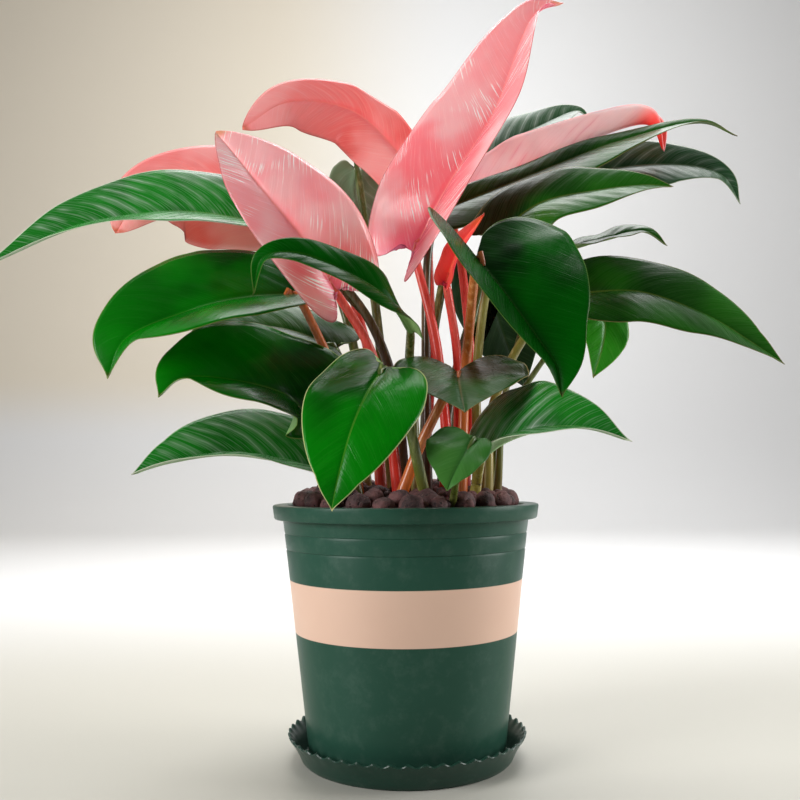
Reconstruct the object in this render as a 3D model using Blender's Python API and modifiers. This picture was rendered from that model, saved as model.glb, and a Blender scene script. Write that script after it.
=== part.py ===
# Pink-leaved philodendron clump growing in a banded plastic pot that stands in a scalloped saucer.
# Blender 4.5 script, metres, +Z up. Origin at the centre of the saucer's underside.
# Azimuth: the side with the heart leaf near the rim looks along -Y.

import math
import random

import bmesh
import bpy
from mathutils import Vector, noise

MM = 0.001

# Driving dimensions in millimetres
GAP = 0.3
POT_LIP_RADIUS = 85.0
POT_TOP = 158.0
POT_LIP_HEIGHT = 9.0
POT_NECK_RADIUS = 78.4
POT_FOOT_RADIUS = 61.5
POT_WALL = 2.7
POT_FLOOR = 3.0
POT_STEPS = ((141.0, 0.5), (131.0, 0.5))
POT_SIDES = 40
DRAIN_HOLES = 6
DRAIN_RADIUS = 4.5
DRAIN_CIRCLE = 40.0

SAUCER_FLOOR = 2.0
SAUCER_BASE_RADIUS = 65.5
SAUCER_RIM_RADIUS = 74.5
SAUCER_HEIGHT = 16.0
SAUCER_WALL = 1.6
SAUCER_SCALLOPS = 48
SAUCER_SCALLOP_DEPTH = 0.9
SAUCER_STEPS_PER_SCALLOP = 3

SOIL_TOP = 145.0
SOCKET_DEPTH = 8.0
SOCKET_CLEARANCE = 0.6
COLLAR_TOP = 170.0
DRILL_TOP = 176.0
BED_EDGE_TOP = 155.0
BED_CROWN_TOP = 161.0
BED_HEAP = 9.0
BED_SIDES = 20
PEBBLE_RADII = (6.2, 7.6)
PEBBLE_PITCH = 16.0
PEBBLE_SEED = 3

BLADE_THICKNESS = 0.9
BLADE_ROWS = 9
WIDE_HALF = 30.0
# Share of the rows that go round the base lobe to the widest point
ROUND_SHARE = 4 / 9
PETIOLE_SIDES = 6
PETIOLE_STEPS = 8

POT_FOOT_HEIGHT = SAUCER_FLOOR + GAP


def remove_everything():
    for thing in list(bpy.data.objects):
        bpy.data.objects.remove(thing, do_unlink=True)


def new_collection(name):
    collection = bpy.data.collections.new(name)
    bpy.context.scene.collection.children.link(collection)
    return collection


def new_material(name, colour, roughness, metallic=0.0):
    material = bpy.data.materials.new(name)
    material.use_nodes = True
    shader = material.node_tree.nodes["Principled BSDF"]
    shader.inputs["Base Color"].default_value = (*colour, 1.0)
    shader.inputs["Roughness"].default_value = roughness
    shader.inputs["Metallic"].default_value = metallic
    material.diffuse_color = (*colour, 1.0)
    return material


def new_object(name, mesh, collection, material=None):
    thing = bpy.data.objects.new(name, mesh)
    collection.objects.link(thing)
    if material:
        mesh.materials.append(material)
    return thing


def mesh_from_bmesh(name, shape):
    mesh = bpy.data.meshes.new(name)
    shape.to_mesh(mesh)
    shape.free()
    return mesh


def evaluated_mesh(thing):
    bpy.context.view_layer.update()
    graph = bpy.context.evaluated_depsgraph_get()
    return bpy.data.meshes.new_from_object(thing.evaluated_get(graph))


def turned_object(name, profile, sides, collection, material=None):
    """A profile of (radius, height) points in mm, turned about Z by a Screw modifier."""
    shape = bmesh.new()
    points = [shape.verts.new((r * MM, 0.0, z * MM)) for r, z in profile]
    for a, b in zip(points, points[1:]):
        shape.edges.new((a, b))
    thing = new_object(name, mesh_from_bmesh(name, shape), collection, material)
    screw = thing.modifiers.new("turn", "SCREW")
    screw.steps = sides
    screw.render_steps = sides
    screw.use_merge_vertices = True
    screw.merge_threshold = 0.00005
    return thing


def cylinder_mesh(shape, centre, radius, bottom, top, sides):
    """Adds one upright closed cylinder to a bmesh, in mm."""
    made = bmesh.ops.create_cone(shape, cap_ends=True, segments=sides, radius1=radius * MM,
                                 radius2=radius * MM, depth=(top - bottom) * MM)
    middle = Vector((centre[0], centre[1], (bottom + top) / 2)) * MM
    bmesh.ops.translate(shape, verts=made["verts"], vec=middle)


def add_boolean(thing, operation, cutter=None, collection=None, solver="EXACT"):
    boolean = thing.modifiers.new(operation.lower(), "BOOLEAN")
    boolean.operation = operation
    boolean.solver = solver
    if collection:
        boolean.operand_type = "COLLECTION"
        boolean.collection = collection
    else:
        boolean.object = cutter


def hide_cutter(thing):
    thing.hide_render = True
    thing.display_type = "WIRE"


# Pot and saucer

def pot_outer_radius(height):
    """Straight taper from foot to neck, in mm."""
    share = (height - POT_FOOT_HEIGHT) / (POT_TOP - POT_LIP_HEIGHT - POT_FOOT_HEIGHT)
    return POT_FOOT_RADIUS + (POT_NECK_RADIUS - POT_FOOT_RADIUS) * share


def pot_inner_radius(height):
    return pot_outer_radius(height) - POT_WALL - sum(depth for _, depth in POT_STEPS)


def filling_radius(height):
    """The widest that soil or pebbles may be inside the pot's many-sided wall."""
    return pot_inner_radius(height) * math.cos(math.pi / POT_SIDES) - GAP


def pot_profile():
    floor_top = POT_FOOT_HEIGHT + POT_FLOOR
    lip_bottom = POT_TOP - POT_LIP_HEIGHT
    inner_top = pot_inner_radius(lip_bottom)
    profile = [(0.0, floor_top), (pot_inner_radius(floor_top), floor_top), (inner_top, lip_bottom)]
    profile += [(inner_top + 1.0, POT_TOP - 1.5), (inner_top + 2.5, POT_TOP)]
    profile += [(POT_LIP_RADIUS - 1.1, POT_TOP), (POT_LIP_RADIUS - 0.2, POT_TOP - 0.5)]
    profile += [(POT_LIP_RADIUS, POT_TOP - 1.4), (POT_LIP_RADIUS - 1.0, lip_bottom + 0.9)]
    profile += [(POT_LIP_RADIUS - 2.0, lip_bottom), (POT_NECK_RADIUS, lip_bottom)]
    for height, depth in POT_STEPS:
        radius = pot_outer_radius(height)
        profile += [(radius, height + 0.6), (radius - depth, height - 0.6)]
        profile += [(radius - depth, height - 1.8), (radius - 0.15, height - 2.6)]
    profile += [(pot_outer_radius(POT_FOOT_HEIGHT + 2.0), POT_FOOT_HEIGHT + 2.0)]
    profile += [(POT_FOOT_RADIUS - 1.6, POT_FOOT_HEIGHT), (0.0, POT_FOOT_HEIGHT)]
    return profile


def make_pot(collection, cutters, material):
    pot = turned_object("pot", pot_profile(), POT_SIDES, collection, material)
    shape = bmesh.new()
    for i in range(DRAIN_HOLES):
        angle = math.tau * i / DRAIN_HOLES
        centre = (DRAIN_CIRCLE * math.cos(angle), DRAIN_CIRCLE * math.sin(angle))
        cylinder_mesh(shape, centre, DRAIN_RADIUS, 0.0, POT_FOOT_HEIGHT + 2 * POT_FLOOR, 10)
    drill = new_object("drain_drill", mesh_from_bmesh("drain_drill", shape), cutters)
    hide_cutter(drill)
    add_boolean(pot, "DIFFERENCE", cutter=drill)
    return pot


def scalloped(x, y, z):
    """Moves a saucer point out and up in even waves that only the rim has, in mm."""
    radius = math.hypot(x, y)
    rise = max(0.0, (z - 3.0) / (SAUCER_HEIGHT - 3.0))
    if radius < 1.0 or rise == 0.0:
        return x, y, z
    wave = math.cos(SAUCER_SCALLOPS * math.atan2(y, x))
    shift = SAUCER_SCALLOP_DEPTH * wave * rise ** 4
    grown = (radius + 0.5 * shift) / radius
    return x * grown, y * grown, z + shift


def make_saucer(collection, material):
    wall_low = SAUCER_BASE_RADIUS + 1.6
    inner_low = SAUCER_BASE_RADIUS - 1.0
    profile = [(0.0, SAUCER_FLOOR), (inner_low, SAUCER_FLOOR)]
    profile += [(wall_low - SAUCER_WALL, 5.0), (68.6, 11.0)]
    profile += [(SAUCER_RIM_RADIUS - SAUCER_WALL, SAUCER_HEIGHT)]
    profile += [(SAUCER_RIM_RADIUS, SAUCER_HEIGHT - 0.4), (70.6, 10.0), (wall_low, 4.0)]
    profile += [(SAUCER_BASE_RADIUS, 0.0), (0.0, 0.0)]
    sides = SAUCER_SCALLOPS * SAUCER_STEPS_PER_SCALLOP
    turned = turned_object("saucer_turned", profile, sides, collection)
    mesh = evaluated_mesh(turned)
    bpy.data.objects.remove(turned, do_unlink=True)
    for vertex in mesh.vertices:
        x, y, z = scalloped(*(value / MM for value in vertex.co))
        vertex.co = Vector((x, y, z)) * MM
    mesh.name = "saucer"
    return new_object("saucer", mesh, collection, material)


# Leaves. A blade is a flat heart or lance outline, laid along a midrib curve in space.

class Leaf:
    """One leaf: lengths in mm, angles in degrees, directions as plain vectors.

    root: where the petiole enters the soil (x, y)
    bends: points that the petiole passes on its way up
    rib: the midrib, from the notch where the petiole joins to the tip
    half: the widths of the left and right halves, seen from above with the tip up
    lobe: how far the left and right base lobes reach back past the notch
    face, tip_face: the direction the upper side looks at the notch and at the tip
    fold: how steeply each half rises from the midrib; curl: how far it bends back down
    seat: how far the petiole's end comes up into the blade's fold
    """

    def __init__(self, name, colour, root, bends, rib, half, lobe, face, tip_face,
                 fold=(18, 18), curl=(25, 25), stalk=(4.0, 2.6), widest=0.26, taper=1.15,
                 seat=0.0):
        self.name = name
        self.colour = colour
        self.root = root
        self.bends = bends
        self.rib = rib
        self.half = half
        self.lobe = lobe
        self.face = face
        self.tip_face = tip_face
        self.fold = fold
        self.curl = curl
        self.stalk = stalk
        self.widest = widest
        self.taper = taper
        self.seat = seat


LEAVES = [
    Leaf("pink_1", "pink", (24, -12), [(26, -16, 200), (20, -14, 262)],
         [(6, -10, 321), (29, -18, 363), (60, -12, 414), (88, 4, 485), (112, 14, 502)],
         (50, 33), (14, 20), (-0.55, -0.8, 0.2), (-0.55, -0.8, 0.2), fold=(20, 38), curl=(22, 15),
         widest=0.32, taper=1.08, seat=0.45),
    Leaf("pink_2", "pink", (10, 14), [(18, 28, 250), (18, 36, 320)],
         [(16, 36, 374), (-8, 34, 409), (-38, 28, 433), (-79, 14, 432), (-108, 4, 409)],
         (28, 20), (8, 8), (-0.1, -0.97, 0.17), (-0.1, -0.97, 0.1), fold=(5, 5), curl=(20, 20),
         widest=0.5, taper=0.72),
    Leaf("pink_3", "pink", (-2, -20), [(-9, -22, 200), (-20, -40, 250)],
         [(-41, -52, 287), (-57, -66, 312), (-83, -62, 345), (-100, -52, 368), (-116, -44, 389)],
         (25, 38), (14, 12), (0.1, -0.9, 0.2), (0.1, -0.95, 0.2), fold=(26, 16), taper=0.85),
    Leaf("pink_4", "pink", (-14, 8), [(-22, 8, 250), (-45, 12, 320)],
         [(-79, 18, 360), (-115, 22, 375), (-153, 24, 380), (-180, 18, 367), (-194, 10, 340)],
         (50, 30), (10, 10), (0.0, -0.9, 0.4), (-0.2, -0.9, 0.3), fold=(5, 20), widest=0.35, taper=0.7),
    Leaf("pink_5", "pink", (38, 10), [(44, 13, 250), (40, 26, 320)],
         [(32, 38, 368), (88, 38, 395), (140, 32, 415), (171, 24, 419), (180, 18, 397)],
         (18, 24), (8, 8), (-0.3, 0.1, 0.95), (0.6, -0.6, 0.4), fold=(25, 38), curl=(-40, -40),
         widest=0.6, taper=0.85, seat=0.8),
    Leaf("pink_6", "young", (33, -2), [(34, -6, 250)],
         [(26, -20, 297), (30, -32, 308), (35, -44, 317), (42, -52, 325), (48, -58, 332)],
         (9, 9), (2, 2), (-0.2, -0.95, 0.2), (-0.2, -0.95, 0.2), fold=(30, 30), curl=(-30, -30),
         seat=0.3),
    Leaf("green_1", "green", (2, -4), [(-8, -6, 240), (-36, -8, 296)],
         [(-94, -12, 341), (-134, -14, 347), (-170, -18, 345), (-213, -26, 333), (-265, -36, 305)],
         (34, 38), (14, 14), (0.05, -0.8, 0.58), (-0.2, -0.8, 0.5), fold=(40, 20), curl=(20, 25),
         taper=1.5, seat=0.45),
    Leaf("green_2", "green", (-28, -8), [(-36, -14, 220)],
         [(-66, -30, 290), (-96, -45, 285), (-125, -60, 275), (-159, -72, 257), (-169, -78, 232)],
         (40, 48), (4, -4), (-0.1, -0.78, 0.6), (-0.3, -0.75, 0.4), fold=(33, 20), widest=0.42, seat=1.1),
    Leaf("green_3", "green", (-25, -30), [(-34, -28, 185)],
         [(-60, -35, 213), (-71, -45, 225), (-97, -62, 232), (-126, -76, 233), (-139, -82, 221)],
         (34, 46), (4, 10), (-0.1, -0.78, 0.58), (-0.4, -0.75, 0.4), fold=(38, 22), widest=0.4, seat=-0.1),
    Leaf("green_3b", "green", (-30, 8), [(-34, 10, 215)],
         [(-45, 14, 262), (-78, 18, 275), (-113, 22, 279), (-137, 24, 276), (-151, 24, 266)],
         (30, 30), (10, 10), (0.1, -0.6, 0.8), (-0.2, -0.5, 0.8), seat=0.65),
    Leaf("green_4", "green", (-35, -22), [(-40, -24, 171)],
         [(-51, -25, 180), (-76, -38, 187), (-107, -55, 190), (-135, -68, 185), (-155, -76, 178)],
         (32, 36), (10, 10), (-0.1, -0.65, 0.75), (-0.2, -0.6, 0.8), fold=(38, 34)),
    Leaf("green_5", "green", (16, -32), [(1, -52, 210)],
         [(-12, -70, 239), (-21, -92, 222), (-29, -108, 201), (-36, -116, 174), (-39, -116, 158)],
         (33, 33), (2, 14), (-0.1, -0.85, 0.5), (-0.1, -0.95, 0.1), fold=(10, 10), widest=0.32, seat=0.6),
    Leaf("green_6", "green", (-10, -30), [(8, -34, 192), (23, -38, 222)],
         [(32, -42, 239), (32, -66, 225), (33, -86, 211)],
         (42, 41), (12, 12), (0.0, -0.3, 0.95), (0.0, -0.6, 0.8), fold=(20, 20), seat=0.4),
    Leaf("green_7", "green", (40, -28), [(43, -36, 172)],
         [(44, -52, 189), (57, -67, 197), (75, -81, 202), (100, -91, 202), (123, -96, 194)],
         (37, 26), (10, 0), (-0.1, -0.6, 0.75), (0.2, -0.6, 0.7), fold=(34, 36), taper=1.5, seat=0.95),
    Leaf("green_8", "green", (26, -40), [(28, -74, 172)],
         [(37, -94, 196), (30, -104, 186), (24, -110, 175), (21, -112, 168)],
         (13, 23), (2, 4), (-0.2, -0.9, 0.3), (-0.2, -0.95, 0.1), fold=(20, 8), stalk=(2.6, 1.6)),
    Leaf("green_9", "green", (34, -18), [(38, -20, 235)],
         [(41, -80, 301), (47, -88, 290), (58, -99, 271), (71, -110, 248), (79, -116, 233), (81, -119, 216)],
         (55, 27), (18, 40), (-0.26, -0.7, 0.65), (-0.3, -0.95, 0.3), fold=(4, 54), curl=(26, 0),
         widest=0.08, seat=0.5),
    Leaf("green_10", "green", (50, -12), [(56, -10, 220), (80, -6, 268)],
         [(111, -5, 294), (151, -10, 294), (192, -16, 278), (220, -22, 258), (238, -26, 244)],
         (32, 34), (10, 12), (0.1, -0.8, 0.6), (0.3, -0.75, 0.5), widest=0.3, taper=1.25),
    Leaf("green_11", "green", (50, 8), [(66, 14, 210), (100, 10, 262)],
         [(127, 5, 288), (132, 0, 275), (129, -4, 258), (122, -6, 238)],
         (17, 17), (5, 5), (0.3, -0.8, 0.4), (0.2, -0.95, 0.1), stalk=(2.8, 1.6)),
    Leaf("green_12a", "green", (14, 2), [(14, 4, 250), (16, 8, 320)],
         [(23, 10, 353), (83, 6, 376), (143, 2, 398), (195, -4, 409), (220, -10, 397)],
         (14, 32), (12, 12), (-0.2, -0.8, 0.5), (0.1, -0.5, 0.8), seat=0.4),
    Leaf("green_12b", "green", (30, 20), [(40, 24, 250), (62, 28, 330)],
         [(97, 30, 376), (142, 28, 388), (190, 24, 390), (219, 18, 380), (229, 12, 358)],
         (25, 31), (12, 12), (-0.2, -0.78, 0.55), (0.3, -0.8, 0.4)),
    Leaf("green_12c", "green", (46, -2), [(47, -6, 250)],
         [(58, -22, 328), (87, -27, 348), (121, -32, 354), (150, -33, 357), (170, -32, 356)],
         (28, 28), (12, 12), (-0.2, -0.75, 0.6), (0.1, -0.7, 0.6), seat=0.55),
    Leaf("green_13", "green", (58, 2), [(66, 3, 230), (92, 14, 308)],
         [(116, 20, 332), (139, 18, 337), (163, 16, 341), (179, 14, 330)],
         (14, 14), (6, 6), (-0.1, -0.3, 0.9), (0.2, -0.6, 0.7), stalk=(2.8, 1.6)),
    Leaf("green_14", "green", (22, 30), [(34, 36, 240)],
         [(60, 45, 322), (70, 62, 289), (80, 70, 262), (89, 72, 239)],
         (34, 34), (14, 14), (0.3, 0.6, 0.7), (0.4, 0.9, 0.1)),
    Leaf("green_15", "green", (8, -22), [(5, -22, 215), (3, -25, 245)],
         [(5, -48, 264), (-8, -72, 278), (-32, -86, 291), (-59, -94, 300), (-79, -94, 297),
          (-85, -88, 277)],
         (14, 16), (5, 5), (0.1, -0.7, 0.7), (-0.1, -0.8, 0.5), widest=0.3, seat=0.6),
    Leaf("green_16", "green", (-10, 26), [(-16, 34, 260)],
         [(-33, 60, 401), (-36, 72, 388), (-30, 80, 364), (-24, 80, 328)],
         (20, 20), (4, 4), (0.0, 0.7, 0.7), (0.0, 1.0, 0.1)),
    Leaf("green_17", "green", (-24, 22), [(-34, 38, 260), (-56, 48, 330)],
         [(-85, 60, 380), (-125, 75, 408), (-161, 85, 420), (-185, 90, 414)],
         (28, 28), (10, 10), (0.1, -0.6, 0.8), (0.0, -0.7, 0.7), seat=0.5),
    Leaf("green_18", "green", (10, 34), [(20, 40, 270)],
         [(48, 72, 403), (79, 82, 427), (111, 88, 446), (135, 92, 457), (146, 94, 451)],
         (28, 32), (10, 10), (-0.2, -0.7, 0.7), (0.0, -0.7, 0.7), seat=0.5),
]


def curve_point(points, share, before=None):
    """A point on a smooth curve through the given points, at a share of its length."""
    spans = [(b - a).length for a, b in zip(points, points[1:])]
    ends = [before or 2 * points[0] - points[1], *points, 2 * points[-1] - points[-2]]
    distance = max(0.0, min(1.0, share)) * sum(spans)
    index = 0
    while index < len(spans) - 1 and distance > spans[index]:
        distance -= spans[index]
        index += 1
    t = distance / spans[index]
    p0, p1, p2, p3 = ends[index:index + 4]
    ahead = (p2 - p0) * 0.5
    after = (p3 - p1) * 0.5
    return (p1 * (2 * t ** 3 - 3 * t ** 2 + 1) + ahead * (t ** 3 - 2 * t ** 2 + t)
            + p2 * (3 * t ** 2 - 2 * t ** 3) + after * (t ** 3 - t ** 2))


def rib_frame(leaf, points, length, along):
    """Position, direction, upward normal and rightward side of a blade at a distance along."""
    share = max(0.0, min(1.0, along / length))
    step = 0.02
    place = curve_point(points, share)
    direction = (curve_point(points, share + step) - curve_point(points, share - step)).normalized()
    facing = Vector(leaf.face).lerp(Vector(leaf.tip_face), share)
    normal = (facing - direction * facing.dot(direction)).normalized()
    side = direction.cross(normal)
    if along < 0.0:
        place = place + direction * along
    return place, direction, normal, side


def outline_point(leaf, length, half, lobe, share):
    """Flat margin point for one half: by the notch at share 0, widest, then the tip at share 1."""
    widest = leaf.widest * length
    if share < ROUND_SHARE:
        turn = math.radians(-40 + 130 * share / ROUND_SHARE)
        centre = half / 2
        along = min(widest - (widest + lobe) * math.cos(turn), length * share ** 1.3)
        return along, centre + (half - centre) * math.sin(turn)
    reach = (share - ROUND_SHARE) / (1 - ROUND_SHARE)
    return widest + (length - widest) * reach, half * (1 - reach ** 2) ** leaf.taper


def cross_section(fold, curl, half, across):
    """Sideways and upward reach of a half blade that leaves the midrib at an angle and bends."""
    start = math.radians(fold)
    bend = math.radians(curl) or 0.0001
    angle = start - bend * across / half
    sideways = half / bend * (math.sin(start) - math.sin(angle))
    upward = half / bend * (math.cos(angle) - math.cos(start))
    return sideways, upward


def blade_point(leaf, points, length, row, across):
    """Point on a blade: row 0 at the notch and 1 at the tip, across -1 left to 1 right."""
    is_right = across > 0
    half = leaf.half[1 if is_right else 0]
    fold = leaf.fold[1 if is_right else 0]
    curl = leaf.curl[1 if is_right else 0]
    lobe = leaf.lobe[1 if is_right else 0]
    margin_x, margin_y = outline_point(leaf, length, half, lobe, row)
    rib_x = length * row ** 1.3
    share = abs(across)
    flat_x = rib_x + (margin_x - rib_x) * share
    flat_y = margin_y * share
    place, _, normal, side = rib_frame(leaf, points, length, flat_x)
    sideways, upward = cross_section(fold, curl, half, flat_y)
    return place + side * sideways * (1 if is_right else -1) + normal * upward


def make_blade(leaf, collection, material):
    points = [Vector(point) for point in leaf.rib]
    length = sum((b - a).length for a, b in zip(points, points[1:]))
    per_half = 3 if min(leaf.half) >= WIDE_HALF else 2
    shape = bmesh.new()
    bmesh.ops.create_grid(shape, x_segments=2 * per_half, y_segments=BLADE_ROWS, size=1.0)
    for vertex in shape.verts:
        across, row = vertex.co.x, (vertex.co.y + 1) / 2
        vertex.co = blade_point(leaf, points, length, row, across) * MM
    bmesh.ops.remove_doubles(shape, verts=shape.verts, dist=0.00001)
    bmesh.ops.triangulate(shape, faces=shape.faces)
    mesh = mesh_from_bmesh("blade_" + leaf.name, shape)
    blade = new_object("blade_" + leaf.name, mesh, collection, material)
    solid = blade.modifiers.new("thickness", "SOLIDIFY")
    solid.thickness = BLADE_THICKNESS * MM
    solid.offset = 0.0
    mesh.shade_smooth()
    return blade


def socket_line(leaf, bottom, top):
    """Two points on the straight start of a petiole, from its root toward its first bend."""
    root = Vector((*leaf.root, SOIL_TOP))
    climb = Vector(leaf.bends[0]) - root
    return [root + climb * (height - SOIL_TOP) / climb.z for height in (bottom, top)]


def petiole_path(leaf):
    """Points of the stalk's centre line, ending just under the blade's notch."""
    points = [Vector(point) for point in leaf.rib]
    length = sum((b - a).length for a, b in zip(points, points[1:]))
    place, direction, normal, _ = rib_frame(leaf, points, length, 0.0)
    rising = (place - Vector(leaf.bends[-1])).normalized()
    radius = leaf.stalk[1]
    lean = math.sqrt(max(0.0, 1 - rising.dot(normal) ** 2))
    clear = BLADE_THICKNESS / 2 + GAP + 0.1 + radius * lean - leaf.seat
    top = place - normal * clear
    return [*socket_line(leaf, SOIL_TOP - SOCKET_DEPTH + GAP, COLLAR_TOP),
            *(Vector(bend) for bend in leaf.bends), top]


def make_petiole(leaf, collection, material):
    path = petiole_path(leaf)
    curve = bpy.data.curves.new("petiole_" + leaf.name, "CURVE")
    curve.dimensions = "3D"
    curve.bevel_depth = MM
    curve.bevel_resolution = (PETIOLE_SIDES - 4) // 2
    curve.use_fill_caps = True
    spline = curve.splines.new("POLY")
    spline.points.add(PETIOLE_STEPS)
    for i, point in enumerate(spline.points):
        share = max(0.0, (i - 1) / (PETIOLE_STEPS - 1))
        place = path[0] if i == 0 else curve_point(path[1:], share, before=path[0])
        point.co = (*(place * MM), 1.0)
        point.radius = leaf.stalk[0] + (leaf.stalk[1] - leaf.stalk[0]) * share
    curve.materials.append(material)
    petiole = bpy.data.objects.new("petiole_" + leaf.name, curve)
    collection.objects.link(petiole)
    return petiole


# Soil and the clay pebbles on it

def heap(x, y):
    """Extra height of the pebble bed: banked up at the left and right, and most at the back."""
    radius = math.hypot(x, y)
    bank = math.sqrt(0.5 + 0.5 * math.sin(math.atan2(y, x)))
    return BED_HEAP * bank * math.sin(min(1.0, radius / 60.0) * math.pi / 2)


def bed_height(x, y):
    share = math.hypot(x, y) / 74.0
    return BED_CROWN_TOP + (BED_EDGE_TOP - BED_CROWN_TOP) * share ** 4 + heap(x, y) * (1 - share ** 6)


def socket_drill(cutters, name, bottom):
    """Straight holes along every petiole's foot, a little wider than the stalk."""
    shape = bmesh.new()
    for leaf in LEAVES:
        start, end = socket_line(leaf, bottom, DRILL_TOP)
        radius = (leaf.stalk[0] + SOCKET_CLEARANCE) * MM
        made = bmesh.ops.create_cone(shape, cap_ends=True, segments=8, radius1=radius,
                                     radius2=radius, depth=(end - start).length * MM)
        turn = (end - start).to_track_quat("Z", "Y").to_matrix()
        bmesh.ops.rotate(shape, verts=made["verts"], cent=(0, 0, 0), matrix=turn)
        bmesh.ops.translate(shape, verts=made["verts"], vec=(start + end) / 2 * MM)
    drill = new_object(name, mesh_from_bmesh(name, shape), cutters)
    hide_cutter(drill)
    return drill


def make_soil(collection, cutters, material):
    bottom = POT_FOOT_HEIGHT + POT_FLOOR + GAP
    low = filling_radius(bottom)
    top = filling_radius(SOIL_TOP)
    profile = [(0.0, SOIL_TOP), (top, SOIL_TOP), (low, bottom), (0.0, bottom)]
    soil = turned_object("soil", profile, 32, collection, material)
    add_boolean(soil, "DIFFERENCE", cutter=socket_drill(cutters, "soil_drill", SOIL_TOP - SOCKET_DEPTH))
    return soil


def pebble_mesh(name, centre, radius, draw):
    shape = bmesh.new()
    bmesh.ops.create_uvsphere(shape, u_segments=6, v_segments=4, radius=radius * MM)
    turn = Vector((draw.uniform(-1, 1), draw.uniform(-1, 1), draw.uniform(-1, 1)))
    bmesh.ops.rotate(shape, verts=shape.verts, cent=(0, 0, 0), matrix=turn.to_track_quat().to_matrix())
    for vertex in shape.verts:
        lump = 1 + 0.10 * noise.noise(vertex.co / MM * 0.25 + Vector(centre))
        vertex.co = Vector((vertex.co.x, vertex.co.y, vertex.co.z * 0.9)) * lump
    bmesh.ops.translate(shape, verts=shape.verts, vec=Vector(centre) * MM)
    return mesh_from_bmesh(name, shape)


def pebble_places(draw):
    """Pebble centres on jittered rings, left out where a petiole stands."""
    places = []
    ring_radius = 65.5
    while ring_radius > 10.0:
        count = int(math.tau * ring_radius / PEBBLE_PITCH)
        phase = draw.uniform(0, math.tau)
        for i in range(count):
            angle = phase + math.tau * i / count + draw.uniform(-0.3, 0.3) / count
            reach = ring_radius + draw.uniform(-1.2, 1.0)
            x, y = reach * math.cos(angle), reach * math.sin(angle)
            radius = draw.uniform(*PEBBLE_RADII)
            nearest = min(math.hypot(x - leaf.root[0], y - leaf.root[1]) for leaf in LEAVES)
            if nearest > 4.6 + 0.6 * radius:
                places.append((x, y, bed_height(x, y) + 0.1 * radius, radius))
        ring_radius -= PEBBLE_PITCH * 0.9
    return places


def make_pebbles(collection, cutters, material):
    bottom = SOIL_TOP + GAP
    rings = (30.0, 56.0, 70.0)
    edge = filling_radius(SOIL_TOP)
    profile = [(0.0, BED_CROWN_TOP)] + [(radius, BED_CROWN_TOP) for radius in rings]
    profile += [(edge, BED_EDGE_TOP - 1.0), (edge, bottom), (0.0, bottom)]
    turned = turned_object("bed_turned", profile, BED_SIDES, collection)
    mesh = evaluated_mesh(turned)
    bpy.data.objects.remove(turned, do_unlink=True)
    for vertex in mesh.vertices:
        x, y, z = (value / MM for value in vertex.co)
        if z > BED_CROWN_TOP - 1.0:
            vertex.co.z = bed_height(x, y) * MM
    mesh.name = "clay_pebbles"
    bed = new_object("clay_pebbles", mesh, collection, material)
    heap_collection = new_collection("pebbles to fuse")
    draw = random.Random(PEBBLE_SEED)
    for i, (x, y, z, radius) in enumerate(pebble_places(draw)):
        ball = pebble_mesh("pebble_%d" % i, (x, y, z), radius, draw)
        new_object("pebble_%d" % i, ball, heap_collection)
    add_boolean(bed, "UNION", collection=heap_collection, solver="MANIFOLD")
    bed_drill = socket_drill(cutters, "bed_drill", SOIL_TOP - 4.0)
    add_boolean(bed, "DIFFERENCE", cutter=bed_drill, solver="MANIFOLD")
    fused = evaluated_mesh(bed)
    bed.modifiers.clear()
    bed.data = fused
    for ball in list(heap_collection.objects):
        bpy.data.objects.remove(ball, do_unlink=True)
    bpy.data.collections.remove(heap_collection)
    return bed


def main():
    remove_everything()
    collection = new_collection("Potted pink philodendron")
    cutters = new_collection("Cutters")
    pot_green = new_material("pot_plastic", (0.055, 0.11, 0.085), 0.35)
    saucer_green = new_material("saucer_plastic", (0.03, 0.07, 0.05), 0.4)
    soil_brown = new_material("soil_brown", (0.03, 0.02, 0.015), 0.95)
    clay = new_material("clay_brown", (0.10, 0.045, 0.045), 0.85)
    blades = {
        "pink": new_material("blade_pink", (0.90, 0.22, 0.24), 0.35),
        "green": new_material("blade_green", (0.01, 0.11, 0.03), 0.25),
        "young": new_material("blade_young", (0.85, 0.15, 0.07), 0.35),
    }
    stalks = {
        "pink": new_material("petiole_red", (0.75, 0.08, 0.05), 0.4),
        "green": new_material("petiole_olive", (0.28, 0.20, 0.05), 0.4),
        "young": new_material("petiole_young", (0.75, 0.10, 0.05), 0.4),
    }
    make_saucer(collection, saucer_green)
    make_pot(collection, cutters, pot_green)
    make_soil(collection, cutters, soil_brown)
    make_pebbles(collection, cutters, clay)
    for leaf in LEAVES:
        make_blade(leaf, collection, blades[leaf.colour])
        make_petiole(leaf, collection, stalks[leaf.colour])


main()
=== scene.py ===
import math
import random

import bpy
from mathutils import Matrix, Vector, noise


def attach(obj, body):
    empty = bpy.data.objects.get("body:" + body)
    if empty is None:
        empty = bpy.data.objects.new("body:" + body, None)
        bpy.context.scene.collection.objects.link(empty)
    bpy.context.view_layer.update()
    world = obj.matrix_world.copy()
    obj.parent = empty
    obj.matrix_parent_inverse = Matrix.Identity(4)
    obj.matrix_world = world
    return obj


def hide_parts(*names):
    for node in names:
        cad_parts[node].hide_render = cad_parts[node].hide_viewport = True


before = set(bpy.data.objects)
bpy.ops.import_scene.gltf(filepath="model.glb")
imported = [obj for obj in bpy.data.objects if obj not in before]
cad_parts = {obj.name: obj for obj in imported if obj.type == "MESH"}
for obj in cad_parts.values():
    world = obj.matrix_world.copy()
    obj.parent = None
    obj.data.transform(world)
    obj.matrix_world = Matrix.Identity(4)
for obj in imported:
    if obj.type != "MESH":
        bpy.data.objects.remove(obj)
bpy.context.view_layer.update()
mm = 0.001
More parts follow.
